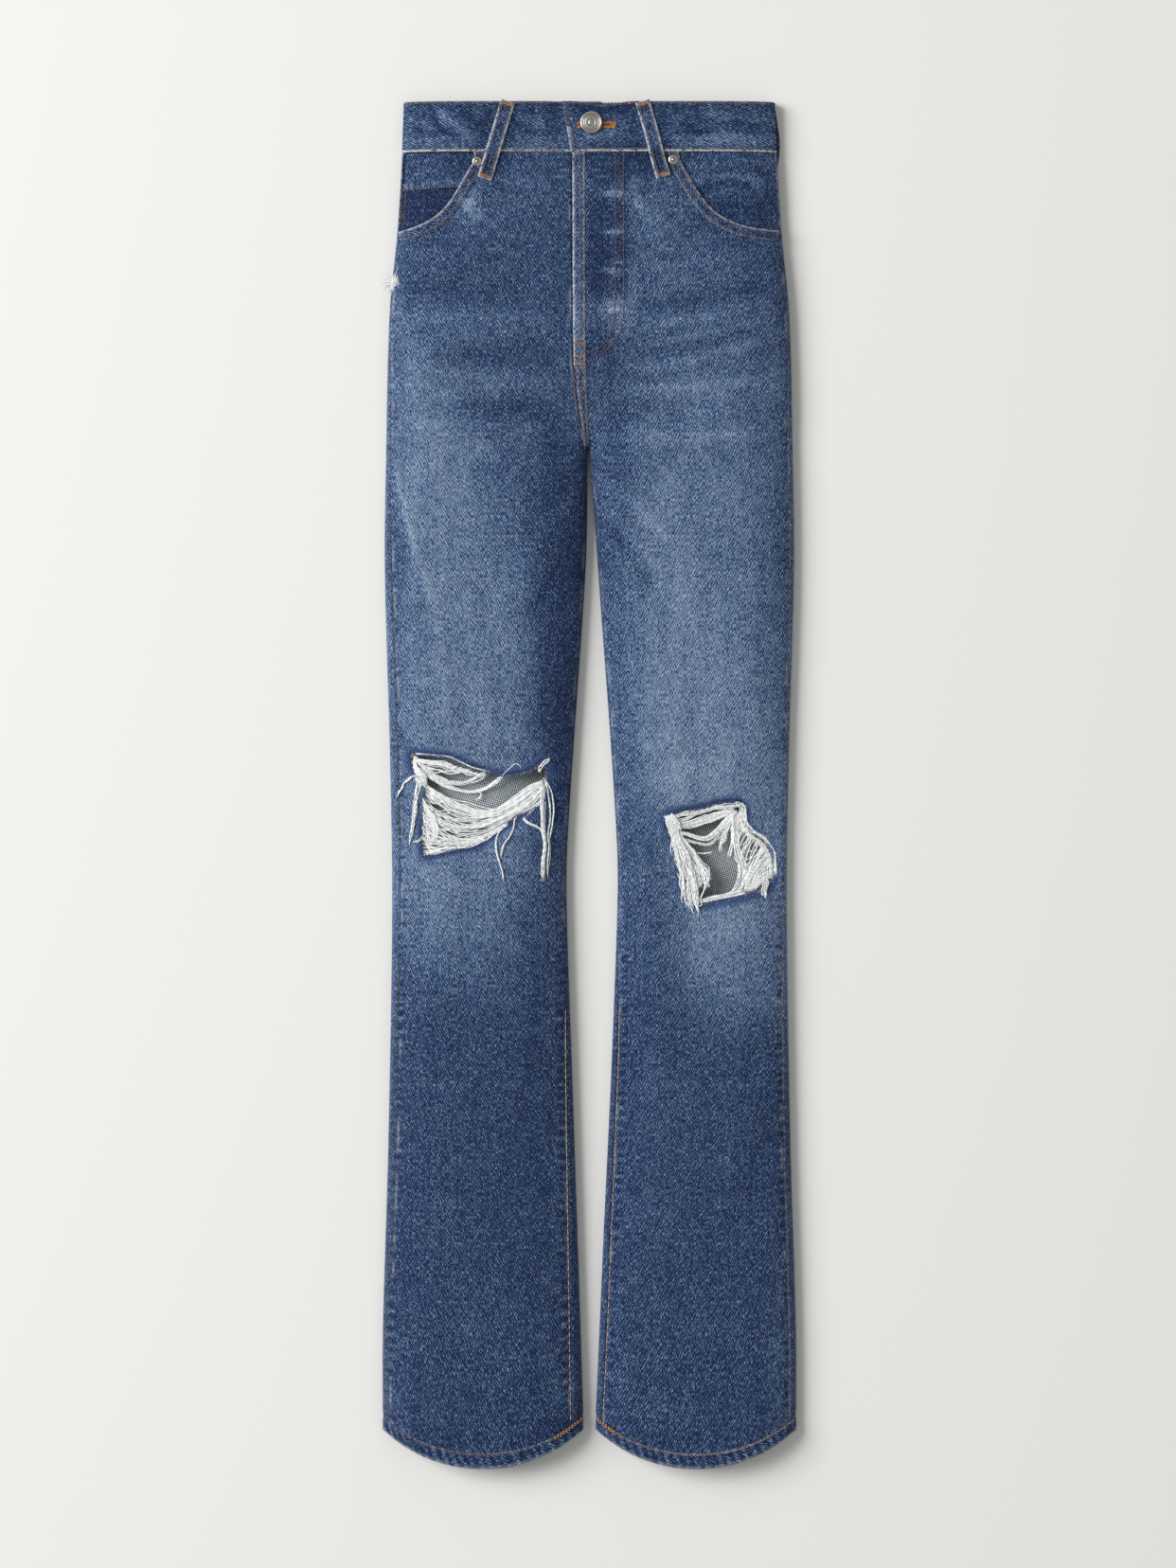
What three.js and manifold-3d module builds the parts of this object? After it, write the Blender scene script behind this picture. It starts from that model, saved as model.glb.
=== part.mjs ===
// Ripped five-pocket jeans laid flat on their back, for three.js. Millimetres: X runs across the garment
// towards the wearer's left, Y along it towards the waist, and Z up from the surface that it lies on.
// Each piece that a maker cuts or sets is a mesh of its own: fronts, backs, yokes, waistband, pockets,
// belt loops, button and rivets. The legs are slack tubes, with a low hollow between front and back.
import * as THREE from 'three';
import { mergeVertices } from 'three/addons/utils/BufferGeometryUtils.js';
import Module from 'manifold-3d';

const wasm = await Module();
wasm.setup();

// ---- Driving dimensions ----
const CLOTH = 1.2; // one layer of denim
const GAP = 0.3; // between neighbouring pieces
const SEAM = 0.7; // between the faces of two panels at a seam over a fold, where their backs lean together
const BAND_TOP = 578; // top edge of the waistband
const BAND_FOOT = 535; // seam between the waistband and the panels
const CROTCH = 284; // where the four leg panels meet
const HEM = -544; // corners of the hems, before their bow
const HEM_DEPTH = 12;
const HEM_BOW = 33.6; // how far the middle of a hem hangs past its corners
const CENTRE_X = -1; // crotch point and centre-back seam
const EDGE_RADIUS = 5.5; // of the fold along each side
const SHOULDER = 55; // how far in from a side fold the top of a leg is still rising
const BAND_CLOTH = 2.4; // the waistband is double
const BAND_PROUD = 0.8; // how far the waistband stands above the panels
const LOOP = { width: 11, thick: 1.8, below: 23 }; // below: how far a loop reaches past the band's foot

// A smooth function through [y, value] points given from high y to low y.
function through(...points) {
  const slope = points.map((p, i) => {
    const a = points[Math.max(i - 1, 0)];
    const b = points[Math.min(i + 1, points.length - 1)];
    return (b[1] - a[1]) / (b[0] - a[0]);
  });
  return (y) => {
    if (y >= points[0][0]) return points[0][1];
    let i = 0;
    while (i < points.length - 1 && y < points[i + 1][0]) i++;
    if (i === points.length - 1) return points[i][1];
    const [y0, v0] = points[i];
    const [y1, v1] = points[i + 1];
    const h = y1 - y0;
    const t = (y - y0) / h;
    return v0 * (1 + 2 * t) * (1 - t) ** 2 + v1 * t * t * (3 - 2 * t)
      + h * t * (1 - t) * (slope[i] * (1 - t) - slope[i + 1] * t);
  };
}

const ramp = (from, to, v) => THREE.MathUtils.smoothstep((v - from) / (to - from), 0, 1);

// ---- The garment's outline and heights, as functions of y ----
const outerEdge = through([BAND_TOP, 157], [BAND_FOOT, 158.5], [468, 162.7], [400, 169.2], [CROTCH, 172.2],
  [184, 173.4], [24, 169], [-100, 167.2], [-300, 170.3], [-460, 175], [HEM, 175.2]);
const halfGap = through([CROTCH, 0.4], [184, 5.2], [24, 16.4], [-56, 21.2], [-96, 21.6], [-216, 17.6],
  [-376, 11.2], [HEM, 4.8]);
const gapCentre = through([CROTCH, CENTRE_X], [184, 2], [-216, 2], [-376, 1], [HEM, 0]);
const crown = through([BAND_TOP, 15], [BAND_FOOT, 17], [430, 20], [0, 20], [-400, 20], [HEM, 21]);
// How far in from the side fold the outseam and the inseam lie, on the top face.
const outseamInset = through([BAND_TOP, 1.2], [468, 2], [CROTCH, 4], [24, 7.5], [-100, 8], [HEM, 8]);
const inseamInset = through([CROTCH, 0.4], [184, 1.5], [-96, 2], [-216, 2.5], [-376, 5], [HEM, 8]);
// The edge of the left front: the fly's fold, and the centre-front seam below it.
const flyEdge = through([BAND_TOP, -15], [366, -14], [340, -12], [310, -8], [CROTCH, CENTRE_X]);
// What is sewn on the back lifts it off the surface: pockets below the yoke, belt loops above it.
const backLift = (y) => (CLOTH + GAP) * ramp(290, 325, y) + (LOOP.thick - CLOTH) * ramp(478, 500, y);
const yokeSeam = (x) => 475 + 0.17 * Math.abs(x);

const innerEdge = (side, y) => (y >= CROTCH ? CENTRE_X : gapCentre(y) + side * halfGap(y));

// Height of the top face: it rises from every side fold over the shoulder's width, as a slack tube does.
function rise(distance) {
  const s = THREE.MathUtils.clamp(distance / SHOULDER, 0, 1);
  return (1 - (1 - s) ** 2.2) ** 0.52;
}
function topHeight(x, y) {
  const side = x < gapCentre(Math.min(y, CROTCH)) ? -1 : 1;
  const fromGap = y >= CROTCH
    ? Math.hypot(x - CENTRE_X, 0.8 * (y - CROTCH))
    : side * (x - innerEdge(side, y));
  const edge = backLift(y) + EDGE_RADIUS;
  return edge + (crown(y) - edge) * rise(outerEdge(y) - Math.abs(x)) * rise(fromGap);
}

// The hems bow outwards as an arc of a circle, fading out over the lowest part of the leg.
const HEM_HALF = (outerEdge(HEM) - halfGap(HEM)) / 2;
const BOW_RADIUS = (HEM_HALF ** 2 + HEM_BOW ** 2) / (2 * HEM_BOW);
const BOW_STARTS = -380;
function bow(side, x, y) {
  const middle = side * (outerEdge(HEM) + halfGap(HEM)) / 2;
  const off = Math.min(Math.abs(x - middle), HEM_HALF);
  const drop = Math.sqrt(BOW_RADIUS ** 2 - off ** 2) - Math.sqrt(BOW_RADIUS ** 2 - HEM_HALF ** 2);
  return drop * THREE.MathUtils.clamp((BOW_STARTS - y) / (BOW_STARTS - HEM), 0, 1) ** 1.6;
}
const onTop = (side, x, y) => new THREE.Vector3(x, y - bow(side, x, y), topHeight(x, y));

// ---- Making solids ----
// A closed wall: rows of points on its visible face, and the same points moved back by the thickness.
// sink moves the whole wall in, turned(i) thickens a row inwards where its edge is folded double, and front
// is +1 where (along a row) x (across the rows) points out of the garment, or -1.
function wall(rows, { front = 1, thick = CLOTH, sink = 0, turned = () => 0 } = {}) {
  const R = rows.length;
  const C = rows[0].length;
  const at = (i, j) => rows[THREE.MathUtils.clamp(i, 0, R - 1)][THREE.MathUtils.clamp(j, 0, C - 1)];
  const faces = [[], []];
  rows.forEach((row, i) => row.forEach((p, j) => {
    const alongRow = at(i, j + 1).clone().sub(at(i, j - 1));
    const acrossRows = at(i + 1, j).clone().sub(at(i - 1, j));
    const out = alongRow.cross(acrossRows).normalize().multiplyScalar(front);
    faces[0].push(...p.clone().addScaledVector(out, -sink));
    faces[1].push(...p.clone().addScaledVector(out, -sink - thick - turned(i)));
  }));
  const index = [];
  const back = R * C;
  const quad = (a, b, c, d) => index.push(a, b, c, a, c, d);
  for (let i = 0; i < R - 1; i++) {
    for (let j = 0; j < C - 1; j++) {
      const [a, b, c, d] = [i * C + j, i * C + j + 1, (i + 1) * C + j + 1, (i + 1) * C + j];
      quad(a, b, c, d);
      quad(back + a, back + d, back + c, back + b);
    }
  }
  const border = [];
  for (let j = 0; j < C - 1; j++) border.push(j);
  for (let i = 0; i < R - 1; i++) border.push(i * C + C - 1);
  for (let j = C - 1; j > 0; j--) border.push((R - 1) * C + j);
  for (let i = R - 1; i > 0; i--) border.push(i * C);
  border.forEach((a, k) => {
    const b = border[(k + 1) % border.length];
    quad(b, a, back + a, back + b);
  });
  if (front < 0) index.reverse();
  return new THREE.BufferGeometry()
    .setAttribute('position', new THREE.Float32BufferAttribute(faces.flat(), 3))
    .setIndex(index);
}

function toSolid(geometry) {
  const bare = geometry.clone();
  bare.deleteAttribute('normal');
  bare.deleteAttribute('uv');
  const merged = mergeVertices(bare, 1e-4);
  return new wasm.Manifold(new wasm.Mesh({
    numProp: 3,
    vertProperties: new Float32Array(merged.attributes.position.array),
    triVerts: new Uint32Array(merged.index.array),
  }));
}

// Cuts a flat outline straight down through a piece.
function cutOut(geometry, outline, curveSegments) {
  const cutter = new THREE.ExtrudeGeometry(outline, { depth: 60, bevelEnabled: false, curveSegments });
  cutter.translate(0, 0, -20);
  const left = toSolid(geometry).subtract(toSolid(cutter)).getMesh();
  const position = new Float32Array(left.numVert * 3);
  for (let i = 0; i < left.numVert; i++) {
    position.set(left.vertProperties.subarray(i * left.numProp, i * left.numProp + 3), i * 3);
  }
  return new THREE.BufferGeometry()
    .setAttribute('position', new THREE.BufferAttribute(position, 3))
    .setIndex(new THREE.BufferAttribute(left.triVerts, 1));
}

function finish(color, roughness, metalness = 0) {
  return new THREE.MeshStandardMaterial({ color, roughness, metalness });
}
const denim = finish(0x466494, 0.9);
const denimDark = finish(0x2c4678, 0.92);
const metal = finish(0xb9b4a8, 0.35, 1);

const jeans = new THREE.Group();
function piece(name, geometry, material) {
  const mesh = new THREE.Mesh(geometry, material);
  mesh.name = name;
  jeans.add(mesh);
  return mesh;
}

const SIDES = [['right', -1], ['left', 1]];
function spread(from, to, count) {
  return Array.from({ length: count }, (_, k) => from + (to - from) * k / (count - 1));
}
// Positions from 0 to 1 that crowd towards both ends, where the cloth turns down.
function eased(count) {
  return spread(0, 1, count).map((s) => 0.35 * s + 0.325 * (1 - Math.cos(Math.PI * s)));
}
const LEG_ROWS = [CROTCH, 264, 220, 150, 70, -10, -90, -170, -250, -330, -400, -460, -505,
  HEM + HEM_DEPTH + 0.8, HEM + HEM_DEPTH, HEM];
const HIP_ROWS = [BAND_FOOT - GAP, 505, 470, 435, 400, 366, 345, 325, 305];
const hemTurn = (stations) => (i) => (stations[i] <= HEM + HEM_DEPTH ? CLOTH : 0);

// ---- Openings worn into the fronts, and the front pockets' scoops ----
const polygon = (points) => points.map(([x, y]) => new THREE.Vector2(x, y));
function ripOutline(points) {
  const outline = new THREE.Shape();
  outline.moveTo(...points[0]);
  outline.splineThru(polygon([...points.slice(1), points[0]]));
  return outline;
}
const RIPS = {
  right: [[-151, 26], [-118, 25], [-93, 14], [-78, 9], [-56, 14], [-38, 22], [-39, 0], [-44, -19], [-67, -30],
    [-87, -45], [-112, -53], [-137, -60], [-140, -35], [-139, -8], [-146, 11]],
  left: [[64, -24], [96, -18], [125, -13], [131, -26], [138, -41], [149, -48], [155, -62], [155, -79],
    [144, -89], [120, -94], [97, -98], [83, -91], [77, -74], [71, -56], [70, -40]],
};
// A scoop runs from the waistband seam, by its rivet, to the outseam.
const SCOOPS = {
  right: [[-98, 536], [-99.5, 526], [-111, 503], [-129, 481], [-147, 471.5], [-175, 466.5]],
  left: [[75.5, 536], [79, 523], [94, 498], [116, 478], [140, 470.5], [175, 468.5]],
};
function scoopOutline(side, points) {
  const outline = new THREE.Shape();
  outline.moveTo(...points[0]);
  outline.splineThru(polygon(points.slice(1)));
  outline.lineTo(side * 190, 467);
  outline.lineTo(side * 190, BAND_TOP);
  outline.lineTo(points[0][0], BAND_TOP);
  outline.closePath();
  return outline;
}

// ---- Front panels: the top of each half, from the outseam to the fly or the inseam ----
const FRONT_COLUMNS = 11;
function frontRow(side, y) {
  const outer = side * (outerEdge(y) - outseamInset(y) - SEAM);
  const inner = y > CROTCH
    ? flyEdge(y) - (side < 0 ? GAP : 0)
    : innerEdge(side, y) + side * (inseamInset(y) + SEAM);
  return eased(FRONT_COLUMNS).map((s) => onTop(side, outer + (inner - outer) * s, y));
}
for (const [name, side] of SIDES) {
  const stations = [...HIP_ROWS, ...LEG_ROWS];
  const whole = wall(stations.map((y) => frontRow(side, y)), { front: side, turned: hemTurn(stations) });
  const scooped = cutOut(whole, scoopOutline(side, SCOOPS[name]), 3);
  piece(`front_${name}`, cutOut(scooped, ripOutline(RIPS[name]), 2), denim);
}

// ---- In the pockets' mouths: the facings, with the coin pocket on the right one ----
// Made from the fronts' own points, and each moved in by the layers that lie over it.
const LAYER = CLOTH + GAP;
for (const [name, side] of SIDES) {
  const rows = [BAND_FOOT - GAP, 505, 470, 455].map((y) => frontRow(side, y).slice(0, 6));
  piece(`pocket_facing_${name}`, wall(rows, { front: side, sink: side < 0 ? 2 * LAYER : LAYER }), denimDark);
}
const COIN_TOP = 511;
const coinRows = [COIN_TOP, COIN_TOP - 5.6, 470, 458].map((y) => frontRow(-1, y).slice(0, 5));
piece('coin_pocket', wall(coinRows, { front: -1, sink: LAYER }), denimDark);

// ---- Fly extension: a strip sewn to the right front, under the left front's edge ----
const extensionRows = [BAND_FOOT - GAP, 480, 425, 374].map((y) => spread(-34, 17, 5)
  .map((x) => onTop(1, x, y)));
piece('fly_extension', wall(extensionRows, { front: -1, sink: LAYER }), denimDark);

// ---- Back panels and yokes: from the outseam round the side fold, along the underside ----
// The end of a section from where it leaves the surface, up round the fold, to its seam on the top face.
function foldEnd(side, edge, y, towards, inset, radiusAcross, radiusUp, foot = backLift(y)) {
  const path = new THREE.CurvePath();
  const at = (across, z) => new THREE.Vector3(edge + towards * across, y, z);
  const bend = spread(0, Math.PI / 2, 9).map((a) => at(radiusAcross * (1 - Math.sin(a)),
    foot + radiusUp * (1 - Math.cos(a))));
  const over = inset > 0.2
    ? spread(0, 1, 9).slice(1).map((s) => at(inset * s * s, topHeight(edge + towards * inset * s * s, y)))
    : [];
  const points = [...bend, ...over];
  points.slice(1).forEach((p, i) => path.add(new THREE.LineCurve3(points[i], p)));
  return spread(0, 1, 5).map((u) => {
    const p = path.getPointAt(u);
    p.y = y - bow(side, p.x, y);
    return p;
  });
}
// One row of a back panel: outseam, outer fold, underside, and the inner fold or the centre-back seam.
const PINCH = 70; // how far above the crotch the backs are drawn up towards it
function backRow(side, y, inset = outseamInset(y)) {
  const outer = foldEnd(side, side * outerEdge(y), y, -side, inset, EDGE_RADIUS, EDGE_RADIUS).reverse();
  const drawn = y >= CROTCH ? 1 - ramp(CROTCH, CROTCH + PINCH, y) : 1;
  const radiusAcross = EDGE_RADIUS + 14 * (1 - drawn);
  const edge = y >= CROTCH ? CENTRE_X + side * GAP / 2 : innerEdge(side, y);
  const seam = y >= CROTCH ? 0 : inseamInset(y);
  const inner = foldEnd(side, edge, y, side, seam, radiusAcross, EDGE_RADIUS * drawn);
  const from = outer[outer.length - 1];
  const to = inner[0];
  const flat = spread(0, 1, 5).slice(1, -1).map((s) => {
    const x = from.x + (to.x - from.x) * s;
    return new THREE.Vector3(x, y - bow(side, x, y), backLift(y));
  });
  return [...outer, ...flat, ...inner];
}
for (const [name, side] of SIDES) {
  // A row along the slanting seam between yoke and back panel.
  const slanted = (shift) => backRow(side, yokeSeam(80)).map((p, j) => {
    const y = yokeSeam(p.x) + shift;
    const q = backRow(side, y)[j];
    return new THREE.Vector3(q.x, y, q.z);
  });
  const stations = [455, 435, 400, 366, 345, 325, 305, ...LEG_ROWS];
  const body = [slanted(-GAP / 2), ...stations.map((y) => backRow(side, y))];
  piece(`back_${name}`, wall(body, { front: -side, turned: hemTurn([BAND_FOOT, ...stations]) }), denim);
  const yoke = [backRow(side, BAND_FOOT - GAP), backRow(side, 518), slanted(GAP / 2)];
  piece(`yoke_${name}`, wall(yoke, { front: -side }), denim);
}

// ---- Back pockets: flat on the surface, under the backs that they are sewn to ----
const POCKET = { inner: 34, outer: 146, top: 466, corner: 346, tip: 327 };
for (const [name, side] of SIDES) {
  const { inner, outer, top, corner, tip } = POCKET;
  const outline = polygon([[inner, top], [inner + 5, corner], [(inner + outer) / 2, tip], [outer - 8, corner],
    [outer, top]].map(([x, y]) => [side * x, y]));
  const pocket = new THREE.ExtrudeGeometry(new THREE.Shape(outline), { depth: CLOTH, bevelEnabled: false });
  piece(`back_pocket_${name}`, pocket, denim);
}

// ---- Waistband: one double strip, from its buttonhole end round the back to the end under the button ----
const bandEnd = (y) => THREE.MathUtils.mapLinear(y, BAND_FOOT, BAND_TOP, -15.6, -23.4);
const UNDERLAP = { from: -40, under: -29, end: 12 };
const bandDip = (x) => 3.2 * Math.cos(THREE.MathUtils.clamp((x - 12) / 26, -1, 1) * Math.PI / 2) ** 2;
function bandRow(y) {
  const foot = backLift(y) + BAND_PROUD;
  const onFront = (x) => new THREE.Vector3(x, y, topHeight(x, y));
  const fold = (side) => foldEnd(side, side * outerEdge(y), y, -side, 1.2, EDGE_RADIUS, EDGE_RADIUS, foot);
  const [leftFold, rightFold] = [fold(1).reverse(), fold(-1)];
  const [left, right] = [leftFold[0].x, rightFold[rightFold.length - 1].x];
  const back = spread(leftFold[leftFold.length - 1].x, rightFold[0].x, 7).slice(1, -1);
  const under = (x) => onFront(x).setZ(topHeight(x, y) - BAND_CLOTH - GAP);
  const across = eased(17).slice(8).map((s) => bandEnd(y) + (left - bandEnd(y)) * (2 * s - 1));
  return [
    ...across.slice(0, -1).map(onFront), ...leftFold, ...back.map((x) => new THREE.Vector3(x, y, foot)),
    ...rightFold, ...eased(17).slice(1, 9).map((s) => onFront(right + (UNDERLAP.from - right) * 2 * s)),
    ...spread(UNDERLAP.under, UNDERLAP.end, 4).map(under),
  ];
}
const bandRows = [BAND_TOP, (BAND_TOP + BAND_FOOT) / 2, BAND_FOOT + GAP / 2].map(bandRow);
bandRows[0].forEach((p) => {
  if (p.z > EDGE_RADIUS * 2) p.y -= bandDip(p.x);
});
piece('waistband', wall(bandRows, { front: -1, thick: BAND_CLOTH, sink: -BAND_PROUD }), denim);

// ---- Belt loops: two on the front, lying over the band's lower seam, and three on the back ----
const LOOP_FOOT = BAND_FOOT - LOOP.below;
const FRONT_LOOPS = { right: [-68.8, -88.8], left: [44.8, 62.8] }; // x at the top and at the foot
for (const [name, [topX, footX]] of Object.entries(FRONT_LOOPS)) {
  const rows = [BAND_TOP - 0.5, BAND_FOOT + 12, BAND_FOOT + 1, BAND_FOOT - 3, LOOP_FOOT].map((y) => {
    const middle = THREE.MathUtils.mapLinear(y, BAND_TOP, LOOP_FOOT, topX, footX);
    const proud = BAND_PROUD * ramp(BAND_FOOT - 3, BAND_FOOT + 1, y) + GAP + LOOP.thick;
    return [-0.5, 0.5].map((s) => {
      const x = middle + s * LOOP.width;
      return new THREE.Vector3(x, y, topHeight(x, y) + proud);
    });
  });
  piece(`belt_loop_front_${name}`, wall(rows, { front: -1, thick: LOOP.thick }), denim);
}
const BACK_LOOPS = { right: -128, centre: 10, left: 153.5 };
for (const [name, x] of Object.entries(BACK_LOOPS)) {
  const loop = new THREE.BoxGeometry(LOOP.width, BAND_TOP - LOOP_FOOT, LOOP.thick);
  loop.translate(x, (BAND_TOP + LOOP_FOOT) / 2, LOOP.thick / 2);
  piece(`belt_loop_back_${name}`, loop, denim);
}

// ---- Metal: a shank button on the waistband's end, and a rivet at the upper end of each scoop ----
function turned(name, profile, [x, y], base) {
  const cap = new THREE.LatheGeometry(polygon(profile), 28);
  cap.rotateX(Math.PI / 2);
  const mesh = piece(name, cap, metal);
  mesh.position.set(x, y, topHeight(x, y) + base + GAP);
  mesh.rotation.x = Math.atan((topHeight(x, y + 4) - topHeight(x, y - 4)) / 8);
}
const BUTTON_RADIUS = 9.3;
turned('button', [[0, 0], [BUTTON_RADIUS - 2, 0], [BUTTON_RADIUS, 1.6], [BUTTON_RADIUS - 0.4, 3.2],
  [BUTTON_RADIUS - 2, 3.8], [BUTTON_RADIUS - 3, 3], [5, 3.2], [0, 3.4]], [1.5, 559.3], BAND_PROUD);
const RIVETS = { right: [-94.9, 526.6], left: [70.7, 528.1] };
for (const [name, at] of Object.entries(RIVETS)) {
  turned(`rivet_${name}`, [[0, 0], [4.1, 0], [4.2, 0.5], [3.2, 1.2], [1.6, 1.3], [1.2, 2], [0, 2.1]], at, 0);
}

// The middle of the whole garment, across and along, stands at the origin.
const bounds = new THREE.Box3().setFromObject(jeans);
const centre = bounds.getCenter(new THREE.Vector3());
jeans.position.set(-centre.x, -centre.y, 0);

export default jeans;
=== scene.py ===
"""Ripped jeans laid flat on their back: the finish of every surface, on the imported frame.

The garment's form is written in millimetres, X across it towards the wearer's left, Y along it towards the
waist and Z up, and goes into metres where a mesh is made.
"""
import bpy
import math
import numpy as np
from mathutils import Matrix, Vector


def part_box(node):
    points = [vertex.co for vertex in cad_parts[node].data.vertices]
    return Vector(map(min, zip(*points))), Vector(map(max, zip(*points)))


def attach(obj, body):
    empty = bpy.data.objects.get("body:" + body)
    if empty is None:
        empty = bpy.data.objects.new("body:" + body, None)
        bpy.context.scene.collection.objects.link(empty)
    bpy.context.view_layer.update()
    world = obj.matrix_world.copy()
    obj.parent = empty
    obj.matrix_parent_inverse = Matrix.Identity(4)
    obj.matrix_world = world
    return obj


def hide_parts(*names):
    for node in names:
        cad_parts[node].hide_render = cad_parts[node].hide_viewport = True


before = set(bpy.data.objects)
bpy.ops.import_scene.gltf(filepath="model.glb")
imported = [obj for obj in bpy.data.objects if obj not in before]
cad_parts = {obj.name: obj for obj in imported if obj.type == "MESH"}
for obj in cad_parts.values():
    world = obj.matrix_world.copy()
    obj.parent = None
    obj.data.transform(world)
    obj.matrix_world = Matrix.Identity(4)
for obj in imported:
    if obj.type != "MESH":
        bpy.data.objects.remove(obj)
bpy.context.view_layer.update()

# ---- Driving dimensions, in millimetres ----
MM = 0.001
CLOTH = 1.2
BAND_TOP, BAND_FOOT = 578.0, 535.0
CROTCH = 284.0
HEM, HEM_DEPTH, HEM_BOW = -544.0, 12.0, 33.6
CENTRE_X = -1.0
EDGE_RADIUS = 5.5
SHOULDER = 55.0
BAND_PROUD, BAND_CLOTH = 0.8, 2.4
LOOP_WIDTH, LOOP_THICK = 12.4, 1.8
LAYER = 1.5  # a layer of denim and the air over it
BUTTON_RADIUS = 9.3
# The waistband's tab ends in a slanted edge, dips under the button, and covers the other end's underlap.
TAB_FOOT_X, TAB_TOP_X = -15.6, -23.4
DIP_MIDDLE, DIP_HALF, DIP = 12, 26, 3.2
UNDERLAP_X = 12
HEM_STEP = (HEM + 13.5, HEM + 11)  # where a panel steps down under its turned-up hem
LEG_ROPES = 8.4  # pitch of the bars that puckered seams leave down the legs
# The frame's box is centred; the form below is written from the crotch's own lines.
SHIFT_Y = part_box("waistband")[1][1] / MM - BAND_TOP
RIGHT, LEFT = -1, 1  # the wearer's


# ---- The garment's outline and height ----
def through(*points):
    """A function of y through (y, value) points: cubic pieces whose slope at each point is that of the chord
    between its neighbours, so that it has no kinks."""
    y, v = np.array(points, float)[::-1].T
    n = len(y)
    before, after = np.maximum(np.arange(n) - 1, 0), np.minimum(np.arange(n) + 1, n - 1)
    slope = (v[after] - v[before]) / (y[after] - y[before])

    def value(at):
        at = np.clip(at, y[0], y[-1])
        i = np.clip(np.searchsorted(y, at, side="right") - 1, 0, n - 2)
        h = y[i + 1] - y[i]
        t = (at - y[i]) / h
        return (v[i] * (1 + 2 * t) * (1 - t) ** 2 + v[i + 1] * t * t * (3 - 2 * t)
                + h * t * (1 - t) * (slope[i] * (1 - t) - slope[i + 1] * t))
    return value


def ramp(start, stop, value):
    """0 at start, 1 at stop, and a smooth step between them."""
    t = np.clip((value - start) / (stop - start), 0, 1)
    return t * t * (3 - 2 * t)


outer_edge = through((BAND_TOP, 157), (BAND_FOOT, 158.5), (468, 162.7), (400, 169.2), (CROTCH, 172.2),
                     (184, 173.4), (24, 169), (-100, 167.2), (-300, 170.3), (-460, 175), (HEM, 175.2))
half_gap = through((CROTCH, 0.4), (184, 5.2), (24, 16.4), (-56, 21.2), (-96, 21.6), (-216, 17.6),
                   (-376, 11.2), (HEM, 4.8))
gap_centre = through((CROTCH, CENTRE_X), (184, 2), (-216, 2), (-376, 1), (HEM, 0))
crown = through((BAND_TOP, 15), (BAND_FOOT, 17), (430, 20), (0, 20), (-400, 20), (HEM, 21))
fly_edge = through((BAND_TOP, -15), (366, -14), (340, -12), (310, -8), (CROTCH, CENTRE_X))
# How far in from its side fold each seam lies on the top face.
OUTSEAM = {
    RIGHT: through((BAND_TOP, 1.2), (400, 1.5), (300, 4), (184, 6.4), (90, 7.6), (-120, 7.6), (-280, 7),
                   (HEM, 5.5)),
    LEFT: through((BAND_TOP, 1.2), (400, 1.5), (300, 4.5), (180, 4.6), (83, 2.4), (0, 1), (-70, 2),
                  (-145, 5), (-277, 6.2), (HEM, 7)),
}
INSEAM = {
    RIGHT: through((CROTCH, 0.4), (60, 0.8), (-150, 1.2), (-202, 3), (-276, 5), (-441, 8), (HEM, 9.6)),
    LEFT: through((CROTCH, 0.4), (60, 0.8), (-137, 1), (-198, 4), (-441, 5.6), (HEM, 5)),
}


def back_lift(y):
    """How far the backs stand off the surface: over the back pockets, then over the belt loops."""
    return LAYER * ramp(290, 325, y) + (LOOP_THICK - CLOTH) * ramp(478, 500, y)


def yoke_seam(x):
    """Height up the back of the seam below the yoke, which rises towards the sides."""
    return 475 + 0.17 * np.abs(x)


def inner_edge(side, y):
    """A leg's inner fold, and the middle of the garment above the crotch."""
    return np.where(y >= CROTCH, CENTRE_X, gap_centre(y) + side * half_gap(y))


def rise(distance):
    """The shoulder of a slack tube: 0 at its side fold, where it is steepest, and 1 once SHOULDER away."""
    s = np.clip(distance / SHOULDER, 0, 1)
    return (1 - (1 - s) ** 2.2) ** 0.52


def top_height(x, y):
    """Height of the top face: it rises from every side fold, and from the crotch, to the crown."""
    side = np.where(x < gap_centre(np.minimum(y, CROTCH)), RIGHT, LEFT)
    from_gap = np.where(y >= CROTCH, np.hypot(x - CENTRE_X, 0.8 * (y - CROTCH)),
                        side * (x - inner_edge(side, y)))
    edge = back_lift(y) + EDGE_RADIUS
    return edge + (crown(y) - edge) * rise(outer_edge(y) - np.abs(x)) * rise(from_gap)


HEM_MIDDLE = (outer_edge(HEM) + half_gap(HEM)) / 2
HEM_HALF = (outer_edge(HEM) - half_gap(HEM)) / 2
BOW_RADIUS = (HEM_HALF ** 2 + HEM_BOW ** 2) / (2 * HEM_BOW)
BOW_STARTS = -380.0


def bow(side, x, y):
    """The arc of a circle that a hem hangs in, fading out over the lowest part of the leg."""
    off = np.minimum(np.abs(x - side * HEM_MIDDLE), HEM_HALF)
    drop = np.sqrt(BOW_RADIUS ** 2 - off ** 2) - math.sqrt(BOW_RADIUS ** 2 - HEM_HALF ** 2)
    return drop * np.clip((BOW_STARTS - y) / (BOW_STARTS - HEM), 0, 1) ** 1.6


def eased(count):
    """Positions from 0 to 1 that crowd towards both ends, where the cloth turns down."""
    s = np.linspace(0, 1, count)
    return 0.35 * s + 0.325 * (1 - np.cos(np.pi * s))


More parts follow.
